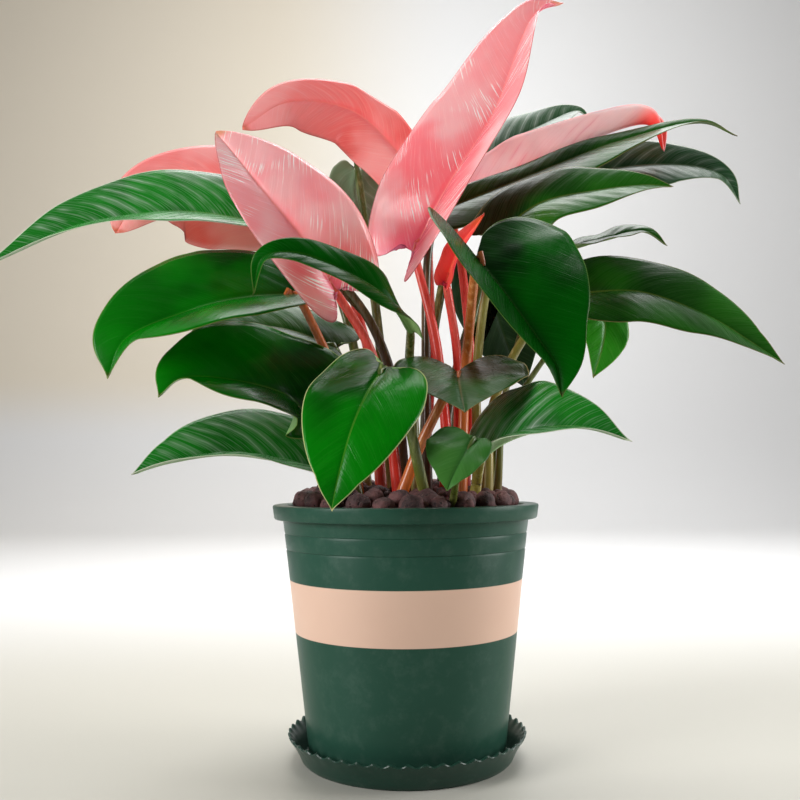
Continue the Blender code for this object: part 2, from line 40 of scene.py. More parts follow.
sharpAngle = math.radians(32)  # plastic edges that turn more than this stay crisp
print("frame loaded")


# Small helpers

def deselectAll():
    if bpy.context.object and bpy.context.object.mode != "OBJECT":
        bpy.ops.object.mode_set(mode="OBJECT")
    bpy.ops.object.select_all(action="DESELECT")


def makeActive(thing):
    deselectAll()
    thing.select_set(True)
    bpy.context.view_layer.objects.active = thing


def renamed(name):
    thing = bpy.context.object
    thing.name = name
    thing.data.name = name
    return thing


def applyModifiers(thing):
    makeActive(thing)
    for modifier in list(thing.modifiers):
        bpy.ops.object.modifier_apply(modifier=modifier.name)


def mergeDoubles(thing):
    makeActive(thing)
    bpy.ops.object.mode_set(mode="EDIT")
    bpy.ops.mesh.select_all(action="SELECT")
    bpy.ops.mesh.remove_doubles(threshold=0.01 * mm)
    bpy.ops.object.mode_set(mode="OBJECT")


def editEdges():  # edit mode for picking edges, with nothing picked yet
    bpy.ops.object.mode_set(mode="EDIT")
    bpy.ops.mesh.select_mode(type="EDGE")
    bpy.ops.mesh.select_all(action="DESELECT")


def joinPieces(pieces, name):
    deselectAll()
    for piece in pieces:
        piece.select_set(True)
    bpy.context.view_layer.objects.active = pieces[0]
    bpy.ops.object.join()
    return renamed(name)


def smooth(low, high, value):
    t = max(0.0, min(1.0, (value - low) / (high - low)))
    return t * t * (3 - 2 * t)


def finishPiece(piece, slot, *nodes):
    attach(piece, "root")
    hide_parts(*nodes)


# Node tools for the materials

def tone(red, green, blue):  # display colour 0 to 255 made linear
    values = []
    for channel in (red, green, blue):
        share = channel / 255
        values.append(share / 12.92 if share <= 0.04045 else ((share + 0.055) / 1.055) ** 2.4)
    return (*values, 1.0)


def newMaterial(name, roughness, specular=0.5):
    material = bpy.data.materials.new(name)
    material.use_nodes = True
    shader = material.node_tree.nodes["Principled BSDF"]
    shader.inputs["Roughness"].default_value = roughness
    shader.inputs["Specular IOR Level"].default_value = specular
    return material, material.node_tree, shader


def addNode(tree, kind, **values):
    node = tree.nodes.new(kind)
    for name, value in values.items():
        setattr(node, name, value)
    return node


def feed(tree, socket, value):
    if isinstance(value, bpy.types.NodeSocket):
        tree.links.new(value, socket)
    else:
        socket.default_value = value


def maths(tree, operation, first, second=0.0, third=0.0):
    node = addNode(tree, "ShaderNodeMath", operation=operation)
    for socket, value in zip(node.inputs, (first, second, third)):
        feed(tree, socket, value)
    return node.outputs[0]


def ramp(tree, value, low, high, start=0.0, end=1.0):  # smooth step from low to high
    node = addNode(tree, "ShaderNodeMapRange", interpolation_type="SMOOTHSTEP")
    names = ("Value", "From Min", "From Max", "To Min", "To Max")
    for name, number in zip(names, (value, low, high, start, end)):
        feed(tree, node.inputs[name], number)
    return node.outputs["Result"]


def blendColour(tree, factor, first, second):
    node = addNode(tree, "ShaderNodeMix", data_type="RGBA")
    feed(tree, node.inputs["Factor"], factor)
    feed(tree, node.inputs[6], first)
    feed(tree, node.inputs[7], second)
    return node.outputs[2]


def tint(tree, colour, mask, amount, other):  # as much of the other colour as the mask times the amount
    return blendColour(tree, maths(tree, "MULTIPLY", mask, amount), colour, other)


def splitPlace(tree, kind="Object"):
    place = addNode(tree, "ShaderNodeTexCoord")
    split = addNode(tree, "ShaderNodeSeparateXYZ")
    tree.links.new(place.outputs[kind], split.inputs["Vector"])
    return split.outputs["X"], split.outputs["Y"], split.outputs["Z"]


def splitMap(tree, name):
    uv = addNode(tree, "ShaderNodeUVMap", uv_map=name)
    split = addNode(tree, "ShaderNodeSeparateXYZ")
    tree.links.new(uv.outputs["UV"], split.inputs["Vector"])
    return split.outputs["X"], split.outputs["Y"]


def objectNoise(tree, scale, detail=3.0, roughness=0.5, stretch=(1, 1, 1)):
    place = addNode(tree, "ShaderNodeTexCoord")
    mapping = addNode(tree, "ShaderNodeMapping")
    mapping.inputs["Scale"].default_value = stretch
    tree.links.new(place.outputs["Object"], mapping.inputs["Vector"])
    texture = addNode(tree, "ShaderNodeTexNoise")
    feed(tree, texture.inputs["Scale"], scale)
    texture.inputs["Detail"].default_value = detail
    texture.inputs["Roughness"].default_value = roughness
    tree.links.new(mapping.outputs["Vector"], texture.inputs["Vector"])
    return texture.outputs["Fac"]


def bump(tree, shader, height, strength, distance):
    node = addNode(tree, "ShaderNodeBump")
    node.inputs["Strength"].default_value = strength
    node.inputs["Distance"].default_value = distance
    tree.links.new(height, node.inputs["Height"])
    tree.links.new(node.outputs["Normal"], shader.inputs["Normal"])


def newGroup(name, inputs, outputs):  # a shader node group with named number sockets
    group = bpy.data.node_groups.new(name, "ShaderNodeTree")
    for title, value in inputs.items():
        socket = group.interface.new_socket(name=title, in_out="INPUT", socket_type="NodeSocketFloat")
        socket.default_value = value
    for title in outputs:
        group.interface.new_socket(name=title, in_out="OUTPUT", socket_type="NodeSocketFloat")
    return group, addNode(group, "NodeGroupInput").outputs, addNode(group, "NodeGroupOutput").inputs


def placeGroup(tree, group, values):
    node = addNode(tree, "ShaderNodeGroup", node_tree=group)
    for title, value in values.items():
        node.inputs[title].default_value = value
    return node.outputs


# Camera, floor and lights

cameraSetup = {"place": (-0.0034, -0.585, 0.177), "pitchUp": 4.7, "roll": 0.4, "lens": 40.5, "sensor": 36.0}
studio = {
    "floor": (188, 186, 177), "floorSize": 6.0, "wallWarm": (238, 228, 210), "wallPale": (240, 240, 240),
    "wallAt": 2.2, "bend": 0.9, "bendSteps": 10, "wallHeight": 3.0, "warmAcross": (-0.6, 0.3),
    "warmUp": (0.3, 0.6), "floorEnds": (0.9, 1.7), "worldBack": 0.55, "worldFront": 0.16,
    "worldColour": (1.0, 0.985, 0.96, 1.0),
}
lights = {
    "key": {"place": (-1.15, -0.70, 0.62), "aim": (0.0, 0.0, 0.26), "size": 0.6, "watts": 17.0},
    "side": {"place": (1.30, -0.05, 0.55), "aim": (0.0, 0.0, 0.24), "size": 0.7, "watts": 15.0},
    "top": {"place": (0.10, 0.60, 1.50), "aim": (0.0, 0.0, 0.26), "size": 1.1, "watts": 16.0},
    "wall": {"place": (0.20, 0.90, 2.10), "aim": (0.1, 2.6, 0.6), "size": 1.6, "watts": 42.0},
}


def makeCamera():
    deselectAll()
    bpy.ops.object.camera_add(location=cameraSetup["place"])
    camera = renamed("camera")
    pitch = math.radians(90 + cameraSetup["pitchUp"])
    camera.rotation_euler = (pitch, math.radians(cameraSetup["roll"]), 0.0)
    camera.data.lens = cameraSetup["lens"]
    camera.data.sensor_width = cameraSetup["sensor"]
    camera.data.clip_start = 0.01
    bpy.context.scene.camera = camera


def makeStudio():
    deselectAll()
    size = studio["floorSize"]
    bpy.ops.mesh.primitive_plane_add(size=size, location=(0, studio["wallAt"] - size / 2, 0))
    floor = renamed("floor")
    editEdges()
    bpy.ops.object.mode_set(mode="OBJECT")
    for edge in floor.data.edges:
        edge.select = all(floor.data.vertices[i].co.y > size / 2 - 0.01 for i in edge.vertices)
    bpy.ops.object.mode_set(mode="EDIT")
    steps = studio["bendSteps"]
    for step in range(steps):  # the floor sweeps up into the back wall
        low, high = (math.pi / 2 * share / steps for share in (step, step + 1))
        forward = studio["bend"] * (math.sin(high) - math.sin(low))
        upward = studio["bend"] * (math.cos(low) - math.cos(high))
        bpy.ops.mesh.extrude_region_move(TRANSFORM_OT_translate={"value": (0, forward, upward)})
    bpy.ops.mesh.extrude_region_move(TRANSFORM_OT_translate={"value": (0, 0, studio["wallHeight"])})
    bpy.ops.object.mode_set(mode="OBJECT")
    bpy.ops.object.shade_smooth()
    material, tree, shader = newMaterial("pale floor", 0.45)
    x, y, z = splitPlace(tree)
    left = ramp(tree, x, *studio["warmAcross"], 1.0, 0.0)
    upperLeft = maths(tree, "MULTIPLY", left, ramp(tree, z, *studio["warmUp"]))
    wall = blendColour(tree, upperLeft, tone(*studio["wallPale"]), tone(*studio["wallWarm"]))
    colour = blendColour(tree, ramp(tree, y, *studio["floorEnds"]), tone(*studio["floor"]), wall)
    tree.links.new(colour, shader.inputs["Base Color"])
    floor.data.materials.append(material)


def makeLight(name, values):
    deselectAll()
    bpy.ops.object.light_add(type="AREA", location=values["place"])
    light = renamed(name)
    light.data.size = values["size"]
    light.data.energy = values["watts"]
    aim = Vector(values["aim"]) - Vector(values["place"])
    light.rotation_euler = aim.to_track_quat("-Z", "Y").to_euler()


def makeWorld():
    world = bpy.data.worlds.new("studio")
    bpy.context.scene.world = world
    world.use_nodes = True
    tree = world.node_tree
    background = tree.nodes["Background"]
    backward = splitPlace(tree, "Generated")[1]
    strength = ramp(tree, backward, -0.1, 0.6, studio["worldFront"], studio["worldBack"])
    tree.links.new(strength, background.inputs["Strength"])
    background.inputs["Color"].default_value = studio["worldColour"]
    bpy.context.scene.view_settings.view_transform = "Standard"


makeCamera()
makeStudio()
for lightName, lightValues in lights.items():
    makeLight(lightName, lightValues)
makeWorld()
print("camera, floor and lights placed")


# Wear that the pot and the saucer share: dust in patches and the fine grain of moulded plastic

def makePlasticGroup():
    inputs = {"Dust Scale": 90.0, "Dust From": 0.45, "Dust To": 0.75, "Grain Scale": 1100.0}
    group, given, result = newGroup("plasticWear", inputs, ("Dust", "Grain"))
    patches = objectNoise(group, given["Dust Scale"], 5.0, 0.7)
    feed(group, result["Dust"], ramp(group, patches, given["Dust From"], given["Dust To"]))
    feed(group, result["Grain"], objectNoise(group, given["Grain Scale"], 2.0))
    return group


plasticGroup = makePlasticGroup()


# Pot: a turned shell with a flat lip, two shallow grooves and a bare pale band. Lengths in mm.

pot = {
    "lipRadius": 85.0, "top": 158.0, "lipHeight": 9.0, "neckRadius": 78.4, "footRadius": 61.5,
    "foot": 2.3, "wall": 3.7, "floor": 3.0, "grooves": (140.4, 130.4), "grooveDepth": 0.45, "sides": 160,
    "bandLow": 79.0, "bandHigh": 111.5, "bandEdge": 0.2, "drains": 6, "drainRadius": 4.5,
    "drainCircle": 40.0, "drainSides": 28, "plastic": ((36, 70, 57), (43, 80, 66)),
    "band": ((214, 178, 158), (224, 192, 172)), "dust": (120, 140, 128),
    "wear": {"Dust Scale": 90.0, "Dust From": 0.45, "Dust To": 0.75, "Grain Scale": 1100.0},
}


def potRadius(height):
    share = (height - pot["foot"]) / (pot["top"] - pot["lipHeight"] - pot["foot"])
    return pot["footRadius"] + (pot["neckRadius"] - pot["footRadius"]) * share


def potInside(height):
    return potRadius(height) - pot["wall"]


def potProfile():  # from the middle of the inside floor, over the lip and down to the foot
    lipBottom = pot["top"] - pot["lipHeight"]
    lip, top = pot["lipRadius"], pot["top"]
    insideTop = potInside(lipBottom)
    inner = pot["foot"] + pot["floor"]
    profile = [(potInside(inner) - 2.0, inner), (potInside(inner), inner + 1.0), (insideTop, lipBottom)]
    profile += [(insideTop + 0.7, top - 1.6), (insideTop + 1.3, top - 0.5), (insideTop + 2.2, top)]
    profile += [(lip - 1.1, top), (lip - 0.3, top - 0.35), (lip, top - 1.2), (lip - 1.0, lipBottom + 1.0)]
    profile += [(lip - 1.5, lipBottom + 0.2), (lip - 2.2, lipBottom), (pot["neckRadius"] + 0.8, lipBottom)]
    profile += [(pot["neckRadius"] + 0.2, lipBottom - 0.4), (pot["neckRadius"], lipBottom - 1.4)]
    for height in pot["grooves"]:
        radius, depth = potRadius(height), pot["grooveDepth"]
        profile += [(radius, height + 0.5), (radius - depth, height), (radius - depth * 0.8, height - 0.4)]
        profile += [(radius - 0.1, height - 1.3)]
    profile += [(potRadius(pot["foot"] + 4.0), pot["foot"] + 4.0)]
    profile += [(pot["footRadius"] - 0.4, pot["foot"] + 1.2), (pot["footRadius"] - 1.8, pot["foot"])]
    return profile


def turnedPiece(name, profile, sides):  # a ring that is extruded and widened along the profile, then capped
    capInset = 0.97  # share of the radius that the caps' inner rings are moved in
    deselectAll()
    radius, height = profile[0]
    bpy.ops.mesh.primitive_circle_add(vertices=sides, radius=radius * mm, location=(0, 0, height * mm))
    piece = renamed(name)
    bpy.ops.object.transform_apply(location=True, rotation=False, scale=False)
    bpy.ops.object.mode_set(mode="EDIT")
    bpy.ops.mesh.select_all(action="SELECT")
    bpy.ops.mesh.edge_face_add()
    bpy.ops.mesh.inset(thickness=radius * mm * capInset)
    bpy.ops.mesh.merge(type="CENTER")
    bpy.ops.mesh.select_mode(type="EDGE")
    bpy.ops.mesh.select_all(action="DESELECT")
    bpy.ops.mesh.select_non_manifold()
    for (fromRadius, fromHeight), (toRadius, toHeight) in zip(profile, profile[1:]):
        rise = {"value": (0, 0, (toHeight - fromHeight) * mm)}
        bpy.ops.mesh.extrude_region_move(TRANSFORM_OT_translate=rise)
        widen = toRadius / fromRadius
        bpy.ops.transform.resize(value=(widen, widen, 1), center_override=(0, 0, toHeight * mm))
    bpy.ops.mesh.edge_face_add()
    bpy.ops.mesh.inset(thickness=profile[-1][0] * mm * capInset)
    bpy.ops.mesh.merge(type="CENTER")
    bpy.ops.mesh.select_all(action="SELECT")
    bpy.ops.mesh.normals_make_consistent(inside=False)
    bpy.ops.object.mode_set(mode="OBJECT")
    bpy.ops.object.shade_smooth_by_angle(angle=sharpAngle)
    return piece


def potMaterial():
    material, tree, shader = newMaterial("dark green plastic with pale band", 0.36, 0.12)
    wear = placeGroup(tree, plasticGroup, pot["wear"])
    x, y, z = splitPlace(tree)
    low, high, edge = pot["bandLow"] * mm, pot["bandHigh"] * mm, pot["bandEdge"] * mm
    aboveLow = ramp(tree, z, low - edge, low + edge)
    belowHigh = ramp(tree, z, high - edge, high + edge, 1.0, 0.0)
    band = maths(tree, "MULTIPLY", aboveLow, belowHigh)
    reach = maths(tree, "MULTIPLY_ADD", y, y, maths(tree, "MULTIPLY", x, x))
    insideWall = potInside((pot["bandLow"] + pot["bandHigh"]) / 2) * mm + 0.001
    band = maths(tree, "MULTIPLY", band, maths(tree, "GREATER_THAN", reach, insideWall ** 2))
    cloud = objectNoise(tree, 14.0, 2.0)
    plastic = blendColour(tree, cloud, *(tone(*colour) for colour in pot["plastic"]))
    pale = blendColour(tree, cloud, *(tone(*colour) for colour in pot["band"]))
    plastic = tint(tree, plastic, wear["Dust"], 0.10, tone(*pot["dust"]))
    tree.links.new(blendColour(tree, band, plastic, pale), shader.inputs["Base Color"])
    rough = maths(tree, "MULTIPLY_ADD", wear["Dust"], 0.12, 0.32)
    tree.links.new(maths(tree, "MULTIPLY_ADD", band, 0.08, rough), shader.inputs["Roughness"])
    bump(tree, shader, maths(tree, "MULTIPLY_ADD", band, 1.5, wear["Grain"]), 0.25, 0.00006)
    return material


def makePot():
    piece = turnedPiece("potShell", potProfile(), pot["sides"])
    drills = []
    circle, radius, sides = pot["drainCircle"] * mm, pot["drainRadius"] * mm, pot["drainSides"]
    for hole in range(pot["drains"]):
        angle = math.tau * hole / pot["drains"]
        place = (circle * math.cos(angle), circle * math.sin(angle), 4 * mm)
        deselectAll()
        bpy.ops.mesh.primitive_cylinder_add(vertices=sides, radius=radius, depth=20 * mm, location=place)
        drills.append(renamed("drill%d" % hole))
    drill = joinPieces(drills, "drill")
    cut = piece.modifiers.new("drains", "BOOLEAN")
    cut.operation = "DIFFERENCE"
    cut.object = drill
    applyModifiers(piece)
    bpy.data.objects.remove(drill, do_unlink=True)
    piece.data.materials.clear()
    piece.data.materials.append(potMaterial())
    makeActive(piece)
    bpy.ops.object.shade_smooth_by_angle(angle=sharpAngle)
    finishPiece(piece, "pot_plastic", "pot")


makePot()
print("pot made")


# Saucer: a shallow dish whose rim is ruffled in even scallops. Lengths in mm.

saucer = {
    "floor": 2.0, "baseRadius": 65.5, "rimRadius": 74.5, "height": 16.0, "wall": 1.6, "scallops": 48,
    "scallopDepth": 0.9, "scallopFrom": 3.0, "sides": 384, "plastic": ((22, 52, 41), (30, 64, 52)),
    "dust": (120, 130, 118),
    "wear": {"Dust Scale": 140.0, "Dust From": 0.5, "Dust To": 0.8, "Grain Scale": 900.0},
}


def saucerProfile():
    base, rim, wall, top = saucer["baseRadius"], saucer["rimRadius"], saucer["wall"], saucer["height"]
    profile = [(base - 4.0, saucer["floor"]), (base - 1.4, saucer["floor"] + 0.3), (base + 0.1, 4.0)]
    profile += [(base + 1.2, 7.0), (68.9, 11.0), (71.2, 14.0), (rim - wall, top)]
    profile += [(rim - wall * 0.6, top + 0.35), (rim - 0.2, top + 0.2)]
    profile += [(rim + 0.1, top - 0.5), (72.6, 12.6), (70.6, 9.6), (68.9, 6.6), (67.6, 3.8), (66.6, 1.6)]
    profile += [(base - 0.2, 0.25), (base - 1.5, 0.0)]
    return profile


def saucerMaterial():
    material, tree, shader = newMaterial("very dark green plastic", 0.34, 0.3)
    wear = placeGroup(tree, plasticGroup, saucer["wear"])
    cloud = objectNoise(tree, 30.0, 3.0)
    colour = blendColour(tree, cloud, *(tone(*colour) for colour in saucer["plastic"]))
    colour = tint(tree, colour, wear["Dust"], 0.14, tone(*saucer["dust"]))
    tree.links.new(colour, shader.inputs["Base Color"])
    tree.links.new(maths(tree, "MULTIPLY_ADD", wear["Dust"], 0.15, 0.3), shader.inputs["Roughness"])
    bump(tree, shader, wear["Grain"], 0.2, 0.00006)
    return material


def makeSaucer():
    piece = turnedPiece("saucerDish", saucerProfile(), saucer["sides"])
    for vertex in piece.data.vertices:
        x, y, z = vertex.co / mm
        radius = math.hypot(x, y)
        rise = max(0.0, (z - saucer["scallopFrom"]) / (saucer["height"] - saucer["scallopFrom"]))
        if radius > 1.0 and rise > 0.0:
            lobe = math.cos(saucer["scallops"] * math.atan2(y, x))
            wave = (lobe - 0.25 * (1 - lobe * lobe)) * saucer["scallopDepth"] * rise ** 4
            grown = (radius + 0.5 * wave) / radius
            vertex.co = Vector((x * grown, y * grown, z + wave)) * mm
    piece.data.materials.append(saucerMaterial())
    finishPiece(piece, "saucer_plastic", "saucer")


makeSaucer()
print("saucer made")


# Leaves. Lengths in mm, angles in degrees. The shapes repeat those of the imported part, with finer form.
# root, bends: the petiole; rib: the midrib from notch to tip; half, lobe: left and right, seen from above
# face, tipFace: where the upper side looks; wave: margin ripple height, count and phase
# lean, sweep: how the side veins slant and bow; groove: depth and half width along the midrib

leafUsual = {
    "lobe": (10, 10), "fold": (18, 18), "curl": (25, 25), "stalk": (4.0, 2.6), "widest": 0.26,
    "taper": 1.15, "wave": (1.0, 2.5, 0.0), "quilt": 0.45, "spacing": 13.0, "lean": 0.9, "sweep": 0.5,
    "groove": (0.7, 1.3), "uneven": 0.5, "columns": 26, "rows": 84, "roundShare": 4 / 9, "thickness": 0.6,
}

leaves = [
    {"name": "pink_1", "look": "pinkBright", "root": (24, -12), "bends": [(26, -16, 200), (20, -14, 262)],
     "rib": [(6, -10, 321), (29, -18, 363), (60, -12, 414), (88, 4, 485), (112, 14, 502)],
     "half": (50, 33), "lobe": (14, 20), "face": (-0.55, -0.8, 0.2), "tipFace": (-0.55, -0.8, 0.2),
     "fold": (20, 38), "curl": (22, 15), "widest": 0.32, "taper": 1.08},
    {"name": "pink_2", "look": "pinkDeep", "root": (10, 14), "bends": [(18, 28, 250), (18, 36, 320)],
     "rib": [(16, 36, 374), (-8, 34, 409), (-38, 28, 433), (-79, 14, 432), (-108, 4, 409)],
     "half": (28, 20), "lobe": (8, 8), "face": (-0.1, -0.97, 0.17), "tipFace": (-0.1, -0.97, 0.1),
     "fold": (5, 5), "curl": (20, 20), "widest": 0.5, "taper": 0.72},
    {"name": "pink_3", "look": "pinkBright", "root": (-2, -20), "bends": [(-9, -22, 200), (-20, -40, 250)],
     "rib": [(-41, -52, 287), (-57, -66, 312), (-83, -62, 345), (-100, -52, 368), (-116, -44, 389)],
     "half": (25, 38), "lobe": (14, 12), "face": (0.1, -0.9, 0.2), "tipFace": (0.1, -0.95, 0.2),
     "fold": (26, 16), "taper": 0.85},
    {"name": "pink_4", "look": "pinkDeep", "root": (-14, 8), "bends": [(-22, 8, 250), (-45, 12, 320)],
     "rib": [(-79, 18, 360), (-115, 22, 375), (-153, 24, 380), (-180, 18, 367), (-194, 10, 340)],
     "half": (50, 30), "face": (0.0, -0.9, 0.4), "tipFace": (-0.2, -0.9, 0.3),
     "fold": (5, 20), "widest": 0.35, "taper": 0.7},
    {"name": "pink_5", "look": "pinkRolled", "root": (38, 10), "bends": [(44, 13, 250), (40, 26, 320)],
     "rib": [(32, 38, 368), (88, 38, 395), (140, 32, 415), (171, 24, 419), (180, 18, 397)],
     "half": (18, 24), "lobe": (8, 8), "face": (-0.3, 0.1, 0.95), "tipFace": (0.6, -0.6, 0.4),
     "fold": (25, 38), "curl": (-40, -40), "widest": 0.6, "taper": 0.85},
    {"name": "pink_6", "look": "youngRed", "root": (33, -2), "bends": [(34, -6, 250)],
     "rib": [(26, -20, 297), (30, -32, 308), (35, -44, 317), (42, -52, 325), (48, -58, 332)],
     "half": (9, 9), "lobe": (2, 2), "face": (-0.2, -0.95, 0.2), "tipFace": (-0.2, -0.95, 0.2),
     "fold": (30, 30), "curl": (-30, -30)},
    {"name": "green_1", "look": "greenVeined", "root": (2, -4), "bends": [(-8, -6, 240), (-36, -8, 296)],
     "rib": [(-94, -12, 341), (-134, -14, 347), (-170, -18, 345), (-213, -26, 333), (-265, -36, 305)],
     "half": (34, 38), "lobe": (14, 14), "face": (0.05, -0.8, 0.58), "tipFace": (-0.2, -0.8, 0.5),
     "fold": (40, 20), "curl": (20, 25), "taper": 1.5},
    {"name": "green_2", "look": "greenBold", "root": (-28, -8), "bends": [(-36, -14, 220)],
     "rib": [(-66, -30, 290), (-96, -45, 285), (-125, -60, 275), (-159, -72, 257), (-169, -78, 232)],
     "half": (40, 48), "lobe": (4, -4), "face": (-0.1, -0.78, 0.6), "tipFace": (-0.3, -0.75, 0.4),
     "fold": (33, 20), "widest": 0.42},
    {"name": "green_3", "look": "greenBold", "root": (-25, -30), "bends": [(-34, -28, 185)],
     "rib": [(-60, -35, 213), (-71, -45, 225), (-97, -62, 232), (-126, -76, 233), (-139, -82, 221)],
     "half": (34, 46), "lobe": (4, 10), "face": (-0.1, -0.78, 0.58), "tipFace": (-0.4, -0.75, 0.4),
     "fold": (38, 22), "widest": 0.4},
    {"name": "green_3b", "look": "greenOlive", "root": (-30, 8), "bends": [(-34, 10, 215)],
     "rib": [(-45, 14, 262), (-78, 18, 275), (-113, 22, 279), (-137, 24, 276), (-151, 24, 266)],
     "half": (30, 30), "face": (0.1, -0.6, 0.8), "tipFace": (-0.2, -0.5, 0.8)},
    {"name": "green_4", "look": "greenVeined", "root": (-35, -22), "bends": [(-40, -24, 171)],
     "rib": [(-51, -25, 180), (-76, -38, 187), (-107, -55, 190), (-135, -68, 185), (-155, -76, 178)],
     "half": (32, 36), "face": (-0.1, -0.65, 0.75), "tipFace": (-0.2, -0.6, 0.8),
     "fold": (38, 34)},
    {"name": "green_5", "look": "greenMid", "root": (16, -32), "bends": [(1, -52, 210)],
     "rib": [(-12, -70, 239), (-21, -92, 222), (-29, -108, 201), (-36, -116, 174), (-39, -116, 158)],
     "half": (33, 33), "lobe": (2, 14), "face": (-0.1, -0.85, 0.5), "tipFace": (-0.1, -0.95, 0.1),
     "fold": (10, 10), "widest": 0.32},
    {"name": "green_6", "look": "greenBrown", "root": (-10, -30), "bends": [(8, -34, 192), (23, -38, 222)],
     "rib": [(32, -42, 239), (32, -66, 225), (33, -86, 211)],
     "half": (42, 41), "lobe": (12, 12), "face": (0.0, -0.3, 0.95), "tipFace": (0.0, -0.6, 0.8),
     "fold": (20, 20)},
    {"name": "green_7", "look": "greenVeined", "root": (40, -28), "bends": [(43, -36, 172)],
     "rib": [(44, -52, 189), (57, -67, 197), (75, -81, 202), (100, -91, 202), (123, -96, 194)],
     "half": (37, 26), "lobe": (10, 0), "face": (-0.1, -0.6, 0.75), "tipFace": (0.2, -0.6, 0.7),
     "fold": (34, 36), "taper": 1.5},
    {"name": "green_8", "look": "greenMatt", "root": (26, -40), "bends": [(28, -74, 172)],
     "rib": [(37, -94, 196), (30, -104, 186), (24, -110, 175), (21, -112, 168)],
     "half": (13, 23), "lobe": (2, 4), "face": (-0.2, -0.9, 0.3), "tipFace": (-0.2, -0.95, 0.1),
     "fold": (20, 8), "stalk": (2.6, 1.6)},
    {"name": "green_9", "look": "greenDark", "root": (34, -18), "bends": [(38, -20, 235)],
     "rib": [(41, -80, 301), (47, -88, 290), (58, -99, 271), (71, -110, 248), (79, -116, 233),
             (81, -119, 216)],
     "half": (55, 27), "lobe": (18, 40), "face": (-0.26, -0.7, 0.65), "tipFace": (-0.3, -0.95, 0.3),
     "fold": (4, 54), "curl": (26, 0), "widest": 0.08},
    {"name": "green_10", "look": "greenOlive", "root": (50, -12), "bends": [(56, -10, 220), (80, -6, 268)],
     "rib": [(111, -5, 294), (151, -10, 294), (192, -16, 278), (220, -22, 258), (238, -26, 244)],
     "half": (32, 34), "lobe": (10, 12), "face": (0.1, -0.8, 0.6), "tipFace": (0.3, -0.75, 0.5),
     "widest": 0.3, "taper": 1.25},
    {"name": "green_11", "look": "greenLight", "root": (50, 8), "bends": [(66, 14, 210), (100, 10, 262)],
     "rib": [(127, 5, 288), (132, 0, 275), (129, -4, 258), (122, -6, 238)],
     "half": (17, 17), "lobe": (5, 5), "face": (0.3, -0.8, 0.4), "tipFace": (0.2, -0.95, 0.1),
     "stalk": (2.8, 1.6)},
    {"name": "green_12a", "look": "greenOlive", "root": (14, 2), "bends": [(14, 4, 250), (16, 8, 320)],
     "rib": [(23, 10, 353), (83, 6, 376), (143, 2, 398), (195, -4, 409), (220, -10, 397)],
     "half": (14, 32), "lobe": (12, 12), "face": (-0.2, -0.8, 0.5), "tipFace": (0.1, -0.5, 0.8)},
    {"name": "green_12b", "look": "greenGrey", "root": (30, 20), "bends": [(40, 24, 250), (62, 28, 330)],
     "rib": [(97, 30, 376), (142, 28, 388), (190, 24, 390), (219, 18, 380), (229, 12, 358)],
     "half": (25, 31), "lobe": (12, 12), "face": (-0.2, -0.78, 0.55), "tipFace": (0.3, -0.8, 0.4)},
    {"name": "green_12c", "look": "greenOlive", "root": (46, -2), "bends": [(47, -6, 250)],
     "rib": [(58, -22, 328), (87, -27, 348), (121, -32, 354), (150, -33, 357), (170, -32, 356)],
     "half": (28, 28), "lobe": (12, 12), "face": (-0.2, -0.75, 0.6), "tipFace": (0.1, -0.7, 0.6)},
    {"name": "green_13", "look": "greenOlive", "root": (58, 2), "bends": [(66, 3, 230), (92, 14, 308)],
     "rib": [(116, 20, 332), (139, 18, 337), (163, 16, 341), (179, 14, 330)],
     "half": (14, 14), "lobe": (6, 6), "face": (-0.1, -0.3, 0.9), "tipFace": (0.2, -0.6, 0.7),
     "stalk": (2.8, 1.6)},
    {"name": "green_14", "look": "greenShade", "root": (22, 30), "bends": [(34, 36, 240)],
     "rib": [(60, 45, 322), (70, 62, 289), (80, 70, 262), (89, 72, 239)],
     "half": (34, 34), "lobe": (14, 14), "face": (0.3, 0.6, 0.7), "tipFace": (0.4, 0.9, 0.1)},
    {"name": "green_15", "look": "greenDark", "root": (8, -22), "bends": [(5, -22, 215), (3, -25, 245)],
     "rib": [(5, -48, 264), (-8, -72, 278), (-32, -86, 291), (-59, -94, 300), (-79, -94, 297),
             (-85, -88, 277)],
     "half": (14, 16), "lobe": (5, 5), "face": (0.1, -0.7, 0.7), "tipFace": (-0.1, -0.8, 0.5),
     "widest": 0.3},
    {"name": "green_16", "look": "greenGrey", "root": (-10, 26), "bends": [(-16, 34, 260)],
     "rib": [(-33, 60, 401), (-36, 72, 388), (-30, 80, 364), (-24, 80, 328)],
     "half": (20, 20), "lobe": (4, 4), "face": (0.0, 0.7, 0.7), "tipFace": (0.0, 1.0, 0.1)},
    {"name": "green_17", "look": "greenShade", "root": (-24, 22), "bends": [(-34, 38, 260), (-56, 48, 330)],
     "rib": [(-85, 60, 380), (-125, 75, 408), (-161, 85, 420), (-185, 90, 414)],
     "half": (28, 28), "face": (0.1, -0.6, 0.8), "tipFace": (0.0, -0.7, 0.7)},
    {"name": "green_18", "look": "greenGrey", "root": (10, 34), "bends": [(20, 40, 270)],
     "rib": [(48, 72, 403), (79, 82, 427), (111, 88, 446), (135, 92, 457), (146, 94, 451)],
     "half": (28, 32), "face": (-0.2, -0.7, 0.7), "tipFace": (0.0, -0.7, 0.7)},
]
leaves = [{**leafUsual, **leaf} for leaf in leaves]


def leafKind(leaf):  # as the record's slots call it
    return next(kind for kind in ("pink", "young", "green") if leaf["look"].startswith(kind))


def pieceName(part, leaf):
    return part + leaf["name"].title().replace("_", "")


